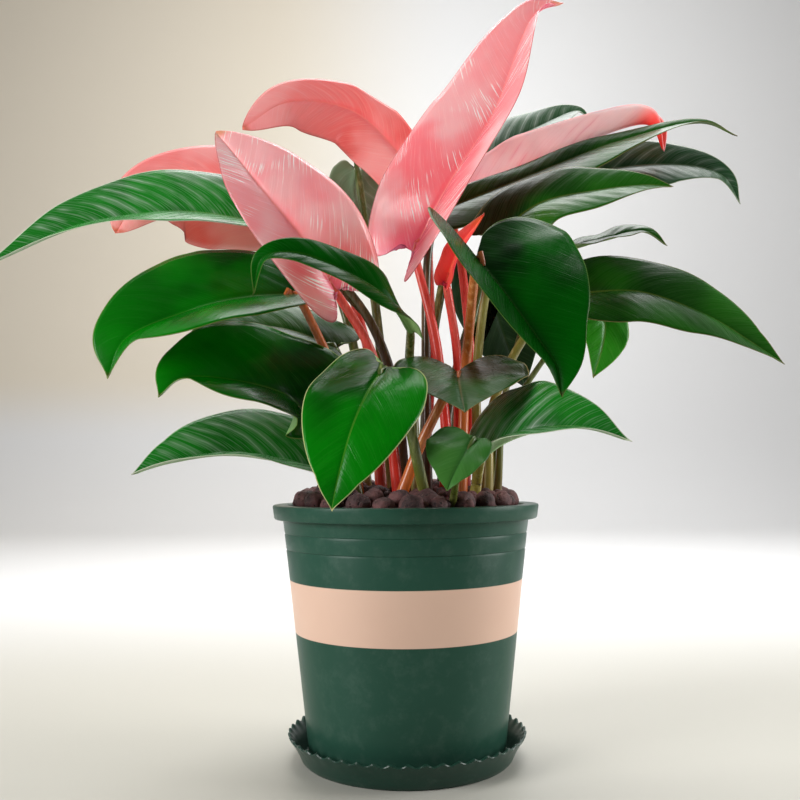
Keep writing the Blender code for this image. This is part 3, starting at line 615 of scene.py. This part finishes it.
def curvePoint(points, share):  # smooth curve through the points, by share of its length
    spans = [(b - a).length for a, b in zip(points, points[1:])]
    ends = [2 * points[0] - points[1], *points, 2 * points[-1] - points[-2]]
    distance = max(0.0, min(1.0, share)) * sum(spans)
    index = 0
    while index < len(spans) - 1 and distance > spans[index]:
        distance -= spans[index]
        index += 1
    t = distance / spans[index]
    p0, p1, p2, p3 = ends[index:index + 4]
    ahead, after = (p2 - p0) * 0.5, (p3 - p1) * 0.5
    return (p1 * (2 * t ** 3 - 3 * t ** 2 + 1) + ahead * (t ** 3 - 2 * t ** 2 + t)
            + p2 * (3 * t ** 2 - 2 * t ** 3) + after * (t ** 3 - t ** 2))


def ribLength(leaf):
    points = [Vector(point) for point in leaf["rib"]]
    return sum((b - a).length for a, b in zip(points, points[1:]))


def ribFrames(leaf, count=160):  # place, direction, upward normal and rightward side at even shares
    points = [Vector(point) for point in leaf["rib"]]
    frames = []
    step = 0.02
    for index in range(count + 1):
        share = index / count
        place = curvePoint(points, share)
        direction = (curvePoint(points, share + step) - curvePoint(points, share - step)).normalized()
        facing = Vector(leaf["face"]).lerp(Vector(leaf["tipFace"]), share)
        normal = (facing - direction * facing.dot(direction)).normalized()
        frames.append((place, direction, normal, direction.cross(normal)))
    return frames


def frameAt(frames, length, along):
    spot = max(0.0, min(1.0, along / length)) * (len(frames) - 1)
    index = min(len(frames) - 2, int(spot))
    mix = spot - index
    place, direction, normal, side = (a.lerp(b, mix) for a, b in zip(frames[index], frames[index + 1]))
    if along < 0.0:
        place = place + direction * along
    return place, direction, normal, side


def outlinePoint(leaf, length, half, lobe, share):  # flat margin of one half, from the notch to the tip
    widest = leaf["widest"] * length
    if share < leaf["roundShare"]:
        turn = math.radians(-40 + 130 * share / leaf["roundShare"])
        centre = half / 2
        along = min(widest - (widest + lobe) * math.cos(turn), length * share ** 1.3)
        return along, centre + (half - centre) * math.sin(turn)
    reach = (share - leaf["roundShare"]) / (1 - leaf["roundShare"])
    return widest + (length - widest) * reach, half * (1 - reach ** 2) ** leaf["taper"]


def crossSection(fold, curl, half, across):  # a half blade leaves the midrib at an angle and bends
    start = math.radians(fold)
    bend = math.radians(curl) or 0.0001
    angle = start - bend * across / half
    radius = half / bend
    return radius * (math.sin(start) - math.sin(angle)), radius * (math.cos(angle) - math.cos(start))


def bladePoint(leaf, frames, length, row, across):
    right = 1 if across > 0 else 0
    half, lobe = leaf["half"][right], leaf["lobe"][right]
    marginX, marginY = outlinePoint(leaf, length, half, lobe, row)
    ribX = length * row ** 1.3
    share = abs(across)
    flatX = ribX + (marginX - ribX) * share
    flatY = marginY * share
    place, _, normal, side = frameAt(frames, length, flatX)
    sideways, upward = crossSection(leaf["fold"][right], leaf["curl"][right], half, flatY)
    out = flatY / half
    height, count, phase = leaf["wave"]
    upward += height * out ** 2 * math.sin(count * math.tau * flatX / length + phase + 2.1 * right)
    vein = flatX - leaf["lean"] * flatY - leaf["sweep"] * flatY * out
    quilting = abs(math.sin(math.pi * vein / leaf["spacing"])) - 0.6
    fade = smooth(0.02, 0.3, out) * smooth(0.0, 0.35, 1 - share) * smooth(0.0, 0.2, 1 - row)
    upward += leaf["quilt"] * quilting * fade
    grooveDepth, grooveWidth = leaf["groove"]
    upward -= grooveDepth * math.exp(-(flatY / grooveWidth) ** 2) * (1 - 0.7 * row)
    spot = Vector((flatX * 0.03, flatY * 0.05 + 7 * right, len(leaf["name"]) * 3.1))
    upward += leaf["uneven"] * noise.noise(spot)
    point = place + side * sideways * (1 if right else -1) + normal * upward
    edge = (marginY - flatY) if row > 0.12 else min(marginY - flatY, row * length)
    return point, (flatY * (1 if right else -1), flatX, vein, max(0.0, edge))


def makeBlade(leaf):
    frames = ribFrames(leaf)
    length = ribLength(leaf)
    deselectAll()
    bpy.ops.mesh.primitive_grid_add(x_subdivisions=leaf["columns"], y_subdivisions=leaf["rows"], size=2)
    piece = renamed(pieceName("blade", leaf))
    facts = []
    weights = []
    for vertex in piece.data.vertices:
        across = math.copysign(abs(vertex.co.x) ** 1.25, vertex.co.x)
        row = (vertex.co.y + 1) / 2
        point, fact = bladePoint(leaf, frames, length, row, across)
        vertex.co = point * mm
        facts.append((*fact, across, row))
        acrossMm, _, _, edge = fact
        ribHeight, ribWidth = leaf["stalk"][1] * 0.9 * (1 - row) + 0.2, 2.6 - 1.6 * row
        ribThickness = ribHeight * math.exp(-(acrossMm / ribWidth) ** 2)
        weights.append(leaf["thickness"] * (0.45 + 0.55 * smooth(0.0, 2.0, edge)) + ribThickness)
    mesh = piece.data
    mesh.uv_layers[0].name = "shareMap"
    for name in ("leafMap", "veinMap"):
        mesh.uv_layers.new(name=name)
    shareMap, leafMap, veinMap = (layer.data for layer in mesh.uv_layers)
    for loop in mesh.loops:
        acrossMm, alongMm, vein, edge, across, row = facts[loop.vertex_index]
        shareMap[loop.index].uv = (0.5 + 0.5 * across, row)
        leafMap[loop.index].uv = (acrossMm / 100, alongMm / 100)
        veinMap[loop.index].uv = (vein / 100, edge / 100)
    thick = max(weights)
    group = piece.vertex_groups.new(name="thickness")
    for index, weight in enumerate(weights):
        group.add([index], weight / thick, "REPLACE")
    mergeDoubles(piece)
    shell = piece.modifiers.new("thickness", "SOLIDIFY")
    shell.thickness = thick * mm
    shell.offset = -1.0
    shell.vertex_group = "thickness"
    shell.material_offset = 1
    shell.material_offset_rim = 2
    for material in lookMaterials(leaf["look"]):
        mesh.materials.append(material)
    applyModifiers(piece)
    bpy.ops.object.shade_smooth()
    finishPiece(piece, "blade_" + leafKind(leaf), "blade_" + leaf["name"])


# Leaf finishes: colours as seen, 0 to 255

lookUsual = {
    "gloss": 0.28, "veins": 0.08, "streaks": 0.25, "sheen": 0.0, "tipFrom": 0.98, "specular": 0.3,
    "glow": 0.0, "paintedHighlight": 0.0, "baseTo": 0.32,
}
looks = {
    "pinkBright": {
        "deep": (255, 110, 120), "light": (255, 170, 173), "vein": (255, 218, 218),
        "rib": (255, 150, 142), "base": (255, 106, 142), "margin": (176, 50, 60), "tip": (200, 136, 104),
        "under": (226, 70, 112), "gloss": 0.24, "veins": 0.06, "tipFrom": 0.95, "specular": 0.5,
        # share of near-white glint streaks painted on these blades: a painted highlight
        "glow": 0.6, "paintedHighlight": 0.8,
    },
    "pinkDeep": {
        "deep": (236, 94, 94), "light": (255, 158, 158), "vein": (255, 206, 198), "rib": (244, 140, 130),
        "base": (240, 100, 92), "margin": (210, 84, 78), "tip": (214, 110, 90), "under": (216, 86, 98),
        "gloss": 0.32, "veins": 0.1, "streaks": 0.3, "tipFrom": 0.97, "glow": 0.5,
    },
    "pinkRolled": {
        "deep": (242, 120, 132), "light": (252, 166, 168), "vein": (222, 96, 136), "rib": (250, 190, 196),
        "base": (232, 70, 130), "margin": (240, 140, 150), "tip": (232, 54, 50), "under": (255, 214, 220),
        "gloss": 0.32, "veins": 0.4, "tipFrom": 0.72, "glow": 0.7, "baseTo": 0.4,
    },
    "youngRed": {
        "deep": (240, 60, 74), "light": (250, 96, 84), "vein": (210, 46, 62), "rib": (250, 130, 96),
        "base": (226, 40, 76), "margin": (200, 40, 36), "tip": (246, 110, 64), "under": (244, 60, 84),
        "gloss": 0.32, "veins": 0.2, "streaks": 0.3, "tipFrom": 0.8, "glow": 0.4,
    },
    "greenBold": {
        "deep": (0, 64, 1), "light": (2, 116, 4), "vein": (30, 124, 28), "rib": (50, 96, 26),
        "base": (3, 14, 1), "margin": (120, 140, 70), "tip": (60, 66, 28), "under": (128, 166, 104),
        "gloss": 0.22, "streaks": 0.22, "tipFrom": 0.97, "specular": 0.14, "baseTo": 0.62,
    },
    "greenDark": {
        "deep": (0, 30, 1), "light": (0, 78, 3), "vein": (20, 104, 22), "rib": (36, 84, 20),
        "base": (10, 34, 6), "margin": (84, 116, 50), "tip": (54, 60, 24), "under": (150, 188, 118),
        "streaks": 0.22, "tipFrom": 0.97, "specular": 0.06,
    },
    "greenMid": {
        "deep": (0, 62, 1), "light": (2, 116, 4), "vein": (44, 152, 36), "rib": (80, 140, 40),
        "base": (6, 52, 6), "margin": (206, 206, 146), "tip": (120, 110, 70), "under": (126, 166, 104),
        "gloss": 0.22, "veins": 0.06, "streaks": 0.22, "specular": 0.12,
    },
    "greenVeined": {
        # the near-white vein colour also paints a pale sheen in the broad vein bands: painted sheen
        "deep": (2, 72, 8), "light": (24, 126, 30), "vein": (206, 222, 206), "rib": (130, 174, 106),
        "base": (10, 84, 14), "margin": (224, 228, 206), "tip": (90, 96, 60), "under": (140, 172, 124),
        "gloss": 0.27, "veins": 0.32, "streaks": 0.35, "sheen": 0.35, "specular": 0.32,
    },
    "greenOlive": {
        "deep": (10, 50, 4), "light": (30, 92, 14), "vein": (70, 116, 44), "rib": (90, 106, 40),
        "base": (34, 44, 12), "margin": (124, 120, 70), "tip": (74, 66, 36), "under": (104, 134, 76),
        "veins": 0.1, "sheen": 0.1, "specular": 0.15,
    },
    "greenGrey": {
        # the pale grey vein colour also paints a sheen in the broad vein bands: painted sheen
        "deep": (16, 54, 26), "light": (46, 88, 52), "vein": (150, 168, 152), "rib": (110, 130, 100),
        "base": (22, 56, 24), "margin": (176, 186, 160), "tip": (74, 80, 56), "under": (112, 138, 104),
        "gloss": 0.3, "veins": 0.5, "streaks": 0.4, "sheen": 0.3,
    },
    "greenLight": {
        "deep": (18, 98, 14), "light": (50, 146, 30), "vein": (112, 178, 80), "rib": (136, 184, 90),
        "base": (20, 96, 16), "margin": (150, 176, 90), "tip": (110, 86, 50), "under": (124, 166, 88),
        "gloss": 0.3, "veins": 0.12, "tipFrom": 0.95, "specular": 0.2,
    },
    "greenMatt": {
        "deep": (36, 92, 30), "light": (66, 120, 48), "vein": (96, 146, 74), "rib": (40, 86, 34),
        "base": (44, 96, 36), "margin": (70, 116, 54), "tip": (120, 110, 60), "under": (96, 140, 80),
        "gloss": 0.42, "veins": 0.12, "streaks": 0.2, "tipFrom": 0.97, "specular": 0.15,
    },
    "greenBrown": {
        "deep": (34, 32, 12), "light": (20, 78, 16), "vein": (84, 96, 50), "rib": (120, 110, 60),
        "base": (44, 34, 18), "margin": (150, 130, 84), "tip": (60, 60, 30), "under": (90, 110, 62),
        "streaks": 0.2, "specular": 0.1,
    },
    # greenShade: a darker copy of the dark green with a dark underside, painted shade for leaves that sit
    # behind others
    "greenShade": {
        "deep": (2, 34, 6), "light": (6, 58, 12), "vein": (90, 120, 84), "rib": (50, 76, 40),
        "base": (6, 26, 6), "margin": (90, 110, 74), "tip": (50, 56, 26), "under": (24, 58, 26),
        "gloss": 0.3, "veins": 0.3, "streaks": 0.3, "sheen": 0.1, "specular": 0.15,
    },
}
looks = {name: {**lookUsual, **look} for name, look in looks.items()}
veinWidths = {"Spacing": leafUsual["spacing"], "Rib Width": 1.1, "Margin Width": 0.55}  # in mm


def makeVeinGroup():
    outputs = ("Lateral", "Vein And Sheen Band", "Streak", "Rib", "Margin", "Share")
    group, given, result = newGroup("veinPattern", veinWidths, outputs)

    def lines(value, low, high):  # lines where the value passes a whole number of spacings
        cell = maths(group, "FRACT", maths(group, "DIVIDE", value, given["Spacing"]))
        centred = maths(group, "ABSOLUTE", maths(group, "SUBTRACT", cell, 0.5))
        return ramp(group, centred, low, high)

    across = maths(group, "MULTIPLY", splitMap(group, "leafMap")[0], 100.0)
    vein, edge = (maths(group, "MULTIPLY", value, 100.0) for value in splitMap(group, "veinMap"))
    share = splitMap(group, "shareMap")[1]
    distance = maths(group, "ABSOLUTE", across)
    combined = addNode(group, "ShaderNodeCombineXYZ")
    feed(group, combined.inputs["X"], maths(group, "MULTIPLY", vein, 0.8))
    feed(group, combined.inputs["Y"], maths(group, "MULTIPLY", distance, 0.05))
    feed(group, combined.inputs["Z"], maths(group, "SIGN", across))
    streaks = addNode(group, "ShaderNodeTexNoise")
    streaks.inputs["Scale"].default_value = 1.0
    streaks.inputs["Detail"].default_value = 4.0
    group.links.new(combined.outputs["Vector"], streaks.inputs["Vector"])
    wander = maths(group, "MULTIPLY_ADD", objectNoise(group, 26.0, 2.0), 9.0, -4.5)
    wandering = maths(group, "ADD", vein, wander)
    patch = ramp(group, objectNoise(group, 32.0, 2.0), 0.38, 0.62)
    shown = maths(group, "MULTIPLY", ramp(group, edge, 0.5, 8.0), patch)
    narrowing = maths(group, "MULTIPLY_ADD", share, -0.75, 1.0)
    ribWidth = maths(group, "MULTIPLY", given["Rib Width"], narrowing)
    marginShare = maths(group, "DIVIDE", edge, given["Margin Width"])
    feed(group, result["Lateral"], maths(group, "MULTIPLY", lines(wandering, 0.44, 0.5), shown))
    # broad soft bands between the side veins; where the vein colour is pale they carry a painted sheen
    feed(group, result["Vein And Sheen Band"], maths(group, "MULTIPLY", lines(wandering, 0.15, 0.5), shown))
    feed(group, result["Streak"], streaks.outputs["Fac"])
    feed(group, result["Rib"], ramp(group, maths(group, "DIVIDE", distance, ribWidth), 0.5, 1.2, 1.0, 0.0))
    feed(group, result["Margin"], ramp(group, marginShare, 0.5, 1.3, 1.0, 0.0))
    feed(group, result["Share"], share)
    return group


veinGroup = makeVeinGroup()
madeLooks = {}


def lookMaterials(name):  # upper side, underside and margin
    if name not in madeLooks:
        look = looks[name]
        madeLooks[name] = [leafMaterial(name + side, look, side) for side in ("Top", "Under", "Margin")]
    return madeLooks[name]


def leafMaterial(name, look, side):
    material, tree, shader = newMaterial(name, look["gloss"], look["specular"])
    shader.inputs["Subsurface Weight"].default_value = look["glow"]
    shader.inputs["Subsurface Scale"].default_value = 0.004
    shader.inputs["Subsurface Radius"].default_value = (1.0, 0.55, 0.5)
    parts = ("deep", "light", "vein", "rib", "base", "margin", "tip", "under")
    deep, light, vein, rib, base, margin, tip, under = (tone(*look[part]) for part in parts)
    veins = placeGroup(tree, veinGroup, veinWidths)
    cloud = ramp(tree, objectNoise(tree, 20.0, 2.0), 0.38, 0.62)
    if side == "Under":
        darker = tone(*(0.88 * value for value in look["under"]))
        colour = blendColour(tree, cloud, darker, under)
    else:
        colour = blendColour(tree, cloud, deep, light)
        colour = blendColour(tree, ramp(tree, veins["Share"], 0.3, 0.85, 0.0, 0.6), colour, light)
    if side != "Under" or look["glow"] > 0.0:
        colour = blendColour(tree, ramp(tree, veins["Share"], 0.0, look["baseTo"], 0.85, 0.0), colour, base)
    # Painted sheen: the broad bands pull the colour towards the vein colour, which on the pale-veined
    # greens paints a whitish sheen along the veins.
    colour = tint(tree, colour, veins["Vein And Sheen Band"], look["veins"] * 0.5, vein)
    colour = tint(tree, colour, veins["Lateral"], look["veins"], vein)
    colour = tint(tree, colour, ramp(tree, veins["Streak"], 0.5, 0.66), look["streaks"] * 0.4, vein)
    # Painted highlight: near-white streaks along the veins, in patches, stand for glints of light on the
    # glossy pink blades.
    highlightPatches = ramp(tree, objectNoise(tree, 34.0, 1.0), 0.52, 0.6)
    highlightMask = maths(tree, "MULTIPLY", ramp(tree, veins["Streak"], 0.56, 0.62), highlightPatches)
    colour = tint(tree, colour, highlightMask, look["paintedHighlight"], tone(255, 246, 242))
    colour = tint(tree, colour, veins["Rib"], 0.6, rib)
    nearTip = ramp(tree, veins["Share"], look["tipFrom"], look["tipFrom"] * 0.3 + 0.7)
    colour = blendColour(tree, nearTip, colour, tip)
    colour = tint(tree, colour, veins["Margin"], 0.7 if side == "Top" else 0.35, margin)
    if side == "Margin":
        colour = blendColour(tree, 0.7, colour, margin)
    tree.links.new(colour, shader.inputs["Base Color"])
    smoothest = look["gloss"] + (0.04 if side == "Under" else -0.12)
    rough = maths(tree, "MULTIPLY_ADD", veins["Streak"], 0.24, smoothest)
    rough = maths(tree, "MULTIPLY_ADD", veins["Vein And Sheen Band"], look["sheen"] * 0.3, rough)
    tree.links.new(rough, shader.inputs["Roughness"])
    height = maths(tree, "MULTIPLY_ADD", veins["Streak"], 2.0, veins["Lateral"])
    height = maths(tree, "MULTIPLY_ADD", objectNoise(tree, 220.0, 3.0), 0.3, height)
    bump(tree, shader, height, 0.4, 0.00016)
    return material


for leaf in leaves:
    makeBlade(leaf)
print("blades made:", len(leaves))


# Petioles: round stalks with a shallow channel on the upper side, that run on into the midrib

stalkSetup = {
    "sides": 14, "steps": 40, "soilTop": 145.0, "foot": 137.4, "collar": 170.0, "sharpAngle": 60,
    "footSwell": 0.18, "topTaper": 0.45, "uneven": 0.06, "channel": 0.28, "runOn": 9.0, "runDepth": 1.3,
}
stalkColours = {  # foot, middle and top colours along the stalk, and its streaks
    "red": ((160, 50, 36), (232, 50, 40), (236, 84, 76), (255, 140, 110)),
    "orange": ((150, 74, 40), (206, 104, 44), (170, 96, 46), (246, 190, 130)),
    "gold": ((120, 96, 50), (150, 134, 60), (124, 122, 56), (232, 222, 160)),
    "olive": ((120, 84, 48), (92, 100, 40), (70, 90, 40), (190, 190, 120)),
    "dark": ((90, 54, 34), (66, 44, 24), (52, 60, 28), (160, 120, 80)),
}
stalkLooks = {
    "green_9": "orange", "green_6": "orange", "green_2": "orange", "green_12c": "gold", "green_10": "gold",
    "green_7": "gold", "green_12a": "dark", "green_1": "dark", "green_15": "olive", "green_14": "dark",
}


def stalkPath(leaf, frames):
    root = Vector((*leaf["root"], stalkSetup["soilTop"]))
    climb = Vector(leaf["bends"][0]) - root
    heights = (stalkSetup["foot"], stalkSetup["collar"])
    feet = [root + climb * (height - root.z) / climb.z for height in heights]
    place, direction, normal, _ = frames[0]
    join = place - normal * (leaf["stalk"][1] * 0.75)
    run = place + direction * stalkSetup["runOn"] - normal * stalkSetup["runDepth"]
    return [*feet, *(Vector(bend) for bend in leaf["bends"]), join, run]


def makeStalk(leaf):
    frames = ribFrames(leaf, 20)
    path = stalkPath(leaf, frames)
    sides, steps = stalkSetup["sides"], stalkSetup["steps"]
    deselectAll()
    bpy.ops.mesh.primitive_grid_add(x_subdivisions=sides, y_subdivisions=steps, size=2)
    piece = renamed(pieceName("petiole", leaf))
    low, high = leaf["stalk"]
    stations = []
    for step in range(steps + 1):
        share = step / steps
        place = curvePoint(path, share)
        direction = (curvePoint(path, share + 0.01) - curvePoint(path, share - 0.01)).normalized()
        inward = Vector((-place.x, -place.y, 40.0)).normalized()
        upward = (inward - direction * inward.dot(direction)).normalized()
        stations.append((place, upward, direction.cross(upward)))
    for vertex in piece.data.vertices:
        turn = (vertex.co.x + 1) * math.pi
        share = (vertex.co.y + 1) / 2
        place, upward, side = stations[round(share * steps)]
        radius = low + (high - low) * share
        radius *= 1 - stalkSetup["topTaper"] * smooth(0.9, 1.0, share)
        radius *= 1 + stalkSetup["footSwell"] * smooth(0.16, 0.0, share)  # sheathing foot
        radius *= 1 + stalkSetup["uneven"] * noise.noise(place * 0.06 + Vector((turn, 0, 0)))
        dip = math.exp(-(math.sin(turn / 2) / 0.28) ** 2) * smooth(0.1, 0.3, share)
        radius *= 1 - stalkSetup["channel"] * dip
        vertex.co = (place + (upward * math.cos(turn) + side * math.sin(turn)) * radius) * mm
    mergeDoubles(piece)
    editEdges()
    bpy.ops.mesh.select_non_manifold()
    bpy.ops.mesh.fill_holes(sides=0)
    bpy.ops.mesh.select_all(action="SELECT")
    bpy.ops.mesh.normals_make_consistent(inside=False)
    bpy.ops.object.mode_set(mode="OBJECT")
    bpy.ops.object.shade_smooth_by_angle(angle=math.radians(stalkSetup["sharpAngle"]))
    usual = "olive" if leafKind(leaf) == "green" else "red"
    piece.data.materials.append(stalkMaterial(stalkLooks.get(leaf["name"], usual)))
    finishPiece(piece, "petiole_" + leafKind(leaf), "petiole_" + leaf["name"])


madeStalks = {}


def stalkMaterial(kind):
    if kind in madeStalks:
        return madeStalks[kind]
    foot, middle, top, streaked = (tone(*colour) for colour in stalkColours[kind])
    material, tree, shader = newMaterial("stalk" + kind.title(), 0.3)
    along = splitMap(tree, "UVMap")[1]
    streaks = objectNoise(tree, 300.0, 3.0, 0.6, (1, 1, 0.05))
    patches = ramp(tree, objectNoise(tree, 30.0, 2.0), 0.5, 0.72)
    colour = blendColour(tree, ramp(tree, along, 0.0, 0.3), foot, middle)
    colour = blendColour(tree, ramp(tree, along, 0.3, 0.95), colour, top)
    colour = tint(tree, colour, patches, 0.5, foot)
    colour = tint(tree, colour, ramp(tree, streaks, 0.52, 0.75), 0.5, streaked)
    tree.links.new(colour, shader.inputs["Base Color"])
    tree.links.new(maths(tree, "MULTIPLY_ADD", streaks, 0.2, 0.18), shader.inputs["Roughness"])
    bump(tree, shader, streaks, 0.3, 0.0002)
    madeStalks[kind] = material
    return material


for leaf in leaves:
    makeStalk(leaf)
print("petioles made:", len(leaves))


# Clay pebbles on their bed. Lengths in mm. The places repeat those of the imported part.

pebbles = {
    "edgeTop": 155.0, "crownTop": 161.0, "heap": 9.0, "radii": (6.2, 7.6), "pitch": 16.0, "seed": 3,
    "outerRing": 65.5, "rootRoom": 4.6, "shapes": 5, "small": 150, "smallRadii": (2.4, 4.4),
    "smallReach": 70.0, "smallRoom": 3.0, "smallShapes": 4, "bedReach": 74.0, "bedRadius": 73.0,
    "bedRings": 22, "bedRing": 3.2, "bedDepth": 4.0, "bedLow": 1.5, "crumbs": (2.2, 1.2),
    # pits: near-black, painted shade in the hollows of the pebbles
    "dark": (52, 28, 30), "pale": (104, 62, 62), "grit": (160, 116, 108), "pits": (30, 14, 14),
}


def bedHeight(x, y):
    radius = math.hypot(x, y)
    bank = math.sqrt(0.5 + 0.5 * math.sin(math.atan2(y, x)))
    raised = pebbles["heap"] * bank * math.sin(min(1.0, radius / 60.0) * math.pi / 2)
    share = radius / pebbles["bedReach"]
    drop = (pebbles["edgeTop"] - pebbles["crownTop"]) * share ** 4
    return pebbles["crownTop"] + drop + raised * (1 - share ** 6)


def nearestRoot(x, y):
    return min(math.hypot(x - leaf["root"][0], y - leaf["root"][1]) for leaf in leaves)


def pebblePlaces(draw):  # jittered rings, left out where a petiole stands
    places = []
    ring = pebbles["outerRing"]
    while ring > 10.0:
        count = int(math.tau * ring / pebbles["pitch"])
        phase = draw.uniform(0, math.tau)
        for index in range(count):
            angle = phase + math.tau * index / count + draw.uniform(-0.3, 0.3) / count
            reach = ring + draw.uniform(-1.2, 1.0)
            x, y = reach * math.cos(angle), reach * math.sin(angle)
            radius = draw.uniform(*pebbles["radii"])
            if nearestRoot(x, y) > pebbles["rootRoom"] + 0.6 * radius:
                turn = [draw.uniform(-1, 1) for axis in range(3)]
                places.append((x, y, bedHeight(x, y) + 0.1 * radius, radius, turn))
        ring -= pebbles["pitch"] * 0.9
    return places


def smallPlaces(draw):
    places = []
    while len(places) < pebbles["small"]:
        reach = pebbles["smallReach"] * math.sqrt(draw.random())
        angle = draw.uniform(0, math.tau)
        x, y = reach * math.cos(angle), reach * math.sin(angle)
        radius = draw.uniform(*pebbles["smallRadii"])
        turn = [draw.uniform(-1, 1) for axis in range(3)]
        if nearestRoot(x, y) > pebbles["smallRoom"] + radius:
            places.append((x, y, bedHeight(x, y) + 0.5 * radius, radius, turn))
    return places


def pebbleMaster(name, detail, shift):
    deselectAll()
    bpy.ops.mesh.primitive_ico_sphere_add(subdivisions=detail, radius=1.0)
    master = renamed(name)
    for vertex in master.data.vertices:
        spot = vertex.co.copy()
        lump = 1 + 0.16 * noise.noise(spot * 1.3 + Vector((shift, 0, 0)))
        lump += 0.06 * noise.noise(spot * 3.5 + Vector((0, shift, 0)))
        lump += 0.02 * noise.noise(spot * 9.0 + Vector((0, 0, shift)))
        vertex.co = Vector((spot.x, spot.y * 0.94, spot.z * 0.88)) * lump
    return master


def clayMaterial():
    material, tree, shader = newMaterial("rough baked clay", 0.8)
    cloud = objectNoise(tree, 75.0, 3.0)
    grit = objectNoise(tree, 900.0, 4.0, 0.7)
    pits = objectNoise(tree, 420.0, 2.0)
    dark, pale, gritty, pitShade = (tone(*pebbles[part]) for part in ("dark", "pale", "grit", "pits"))
    colour = blendColour(tree, ramp(tree, cloud, 0.38, 0.64), dark, pale)
    colour = tint(tree, colour, ramp(tree, grit, 0.5, 0.75), 0.4, gritty)
    # Painted shade: the pits, which the bump sinks, are painted near-black as shade in the hollows.
    colour = blendColour(tree, ramp(tree, pits, 0.62, 0.7), colour, pitShade)
    tree.links.new(colour, shader.inputs["Base Color"])
    tree.links.new(maths(tree, "MULTIPLY_ADD", grit, 0.3, 0.55), shader.inputs["Roughness"])
    height = maths(tree, "SUBTRACT", grit, ramp(tree, pits, 0.6, 0.72))
    bump(tree, shader, height, 0.8, 0.0006)
    return material


def makePebbles():
    shapes, smallShapes = range(pebbles["shapes"]), range(pebbles["smallShapes"])
    large = [pebbleMaster("pebble%d" % shape, 4, shape * 3.7) for shape in shapes]
    small = [pebbleMaster("crumb%d" % shape, 2, 20 + shape * 2.9) for shape in smallShapes]
    pieces = []
    draw = random.Random(pebbles["seed"])
    places = [(place, large) for place in pebblePlaces(draw)]
    places += [(place, small) for place in smallPlaces(draw)]
    for index, ((x, y, z, radius, turn), choice) in enumerate(places):
        copy = choice[index % len(choice)].copy()
        copy.data = copy.data.copy()
        bpy.context.collection.objects.link(copy)
        matrix = Vector(turn).to_track_quat().to_matrix().to_4x4()
        copy.data.transform(matrix)
        for vertex in copy.data.vertices:
            vertex.co = (Vector((x, y, z)) + vertex.co * radius) * mm
        pieces.append(copy)
    for master in large + small:
        bpy.data.objects.remove(master, do_unlink=True)
    pieces.append(makeBed())
    piece = joinPieces(pieces, "pebbleHeap")
    bpy.ops.object.shade_smooth()
    piece.data.materials.clear()
    piece.data.materials.append(clayMaterial())
    finishPiece(piece, "clay", "clay_pebbles")


def makeBed():  # crumbly surface between the pebbles
    deselectAll()
    bpy.ops.mesh.primitive_circle_add(vertices=96, radius=pebbles["bedRadius"] * mm, fill_type="NGON")
    bed = renamed("bedSurface")
    bpy.ops.object.mode_set(mode="EDIT")
    for ring in range(pebbles["bedRings"]):
        bpy.ops.mesh.select_mode(type="FACE")
        bpy.ops.mesh.inset(thickness=pebbles["bedRing"] * mm)
    bpy.ops.object.mode_set(mode="OBJECT")
    coarse, fine = pebbles["crumbs"]
    for vertex in bed.data.vertices:
        x, y = vertex.co.x / mm, vertex.co.y / mm
        crumbs = coarse * noise.noise(Vector((x, y, 0)) * 0.22)
        crumbs += fine * noise.noise(Vector((x, y, 5)) * 0.6)
        vertex.co.z = (bedHeight(x, y) - pebbles["bedLow"] + crumbs) * mm
    wall = bed.modifiers.new("depth", "SOLIDIFY")
    wall.thickness = pebbles["bedDepth"] * mm
    wall.offset = -1.0
    applyModifiers(bed)
    return bed


makePebbles()
print("pebbles made")


# Soil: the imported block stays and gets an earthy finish

soilTones = {"dark": (26, 18, 14), "pale": (62, 46, 34)}


def soilMaterial():
    material, tree, shader = newMaterial("moist potting mix", 0.9)
    grain = objectNoise(tree, 300.0, 5.0, 0.7)
    dark, pale = tone(*soilTones["dark"]), tone(*soilTones["pale"])
    colour = blendColour(tree, ramp(tree, grain, 0.4, 0.65), dark, pale)
    tree.links.new(colour, shader.inputs["Base Color"])
    bump(tree, shader, grain, 0.8, 0.001)
    return material


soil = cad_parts["soil"]
soil.data.materials.clear()
soil.data.materials.append(soilMaterial())
print("soil finished")
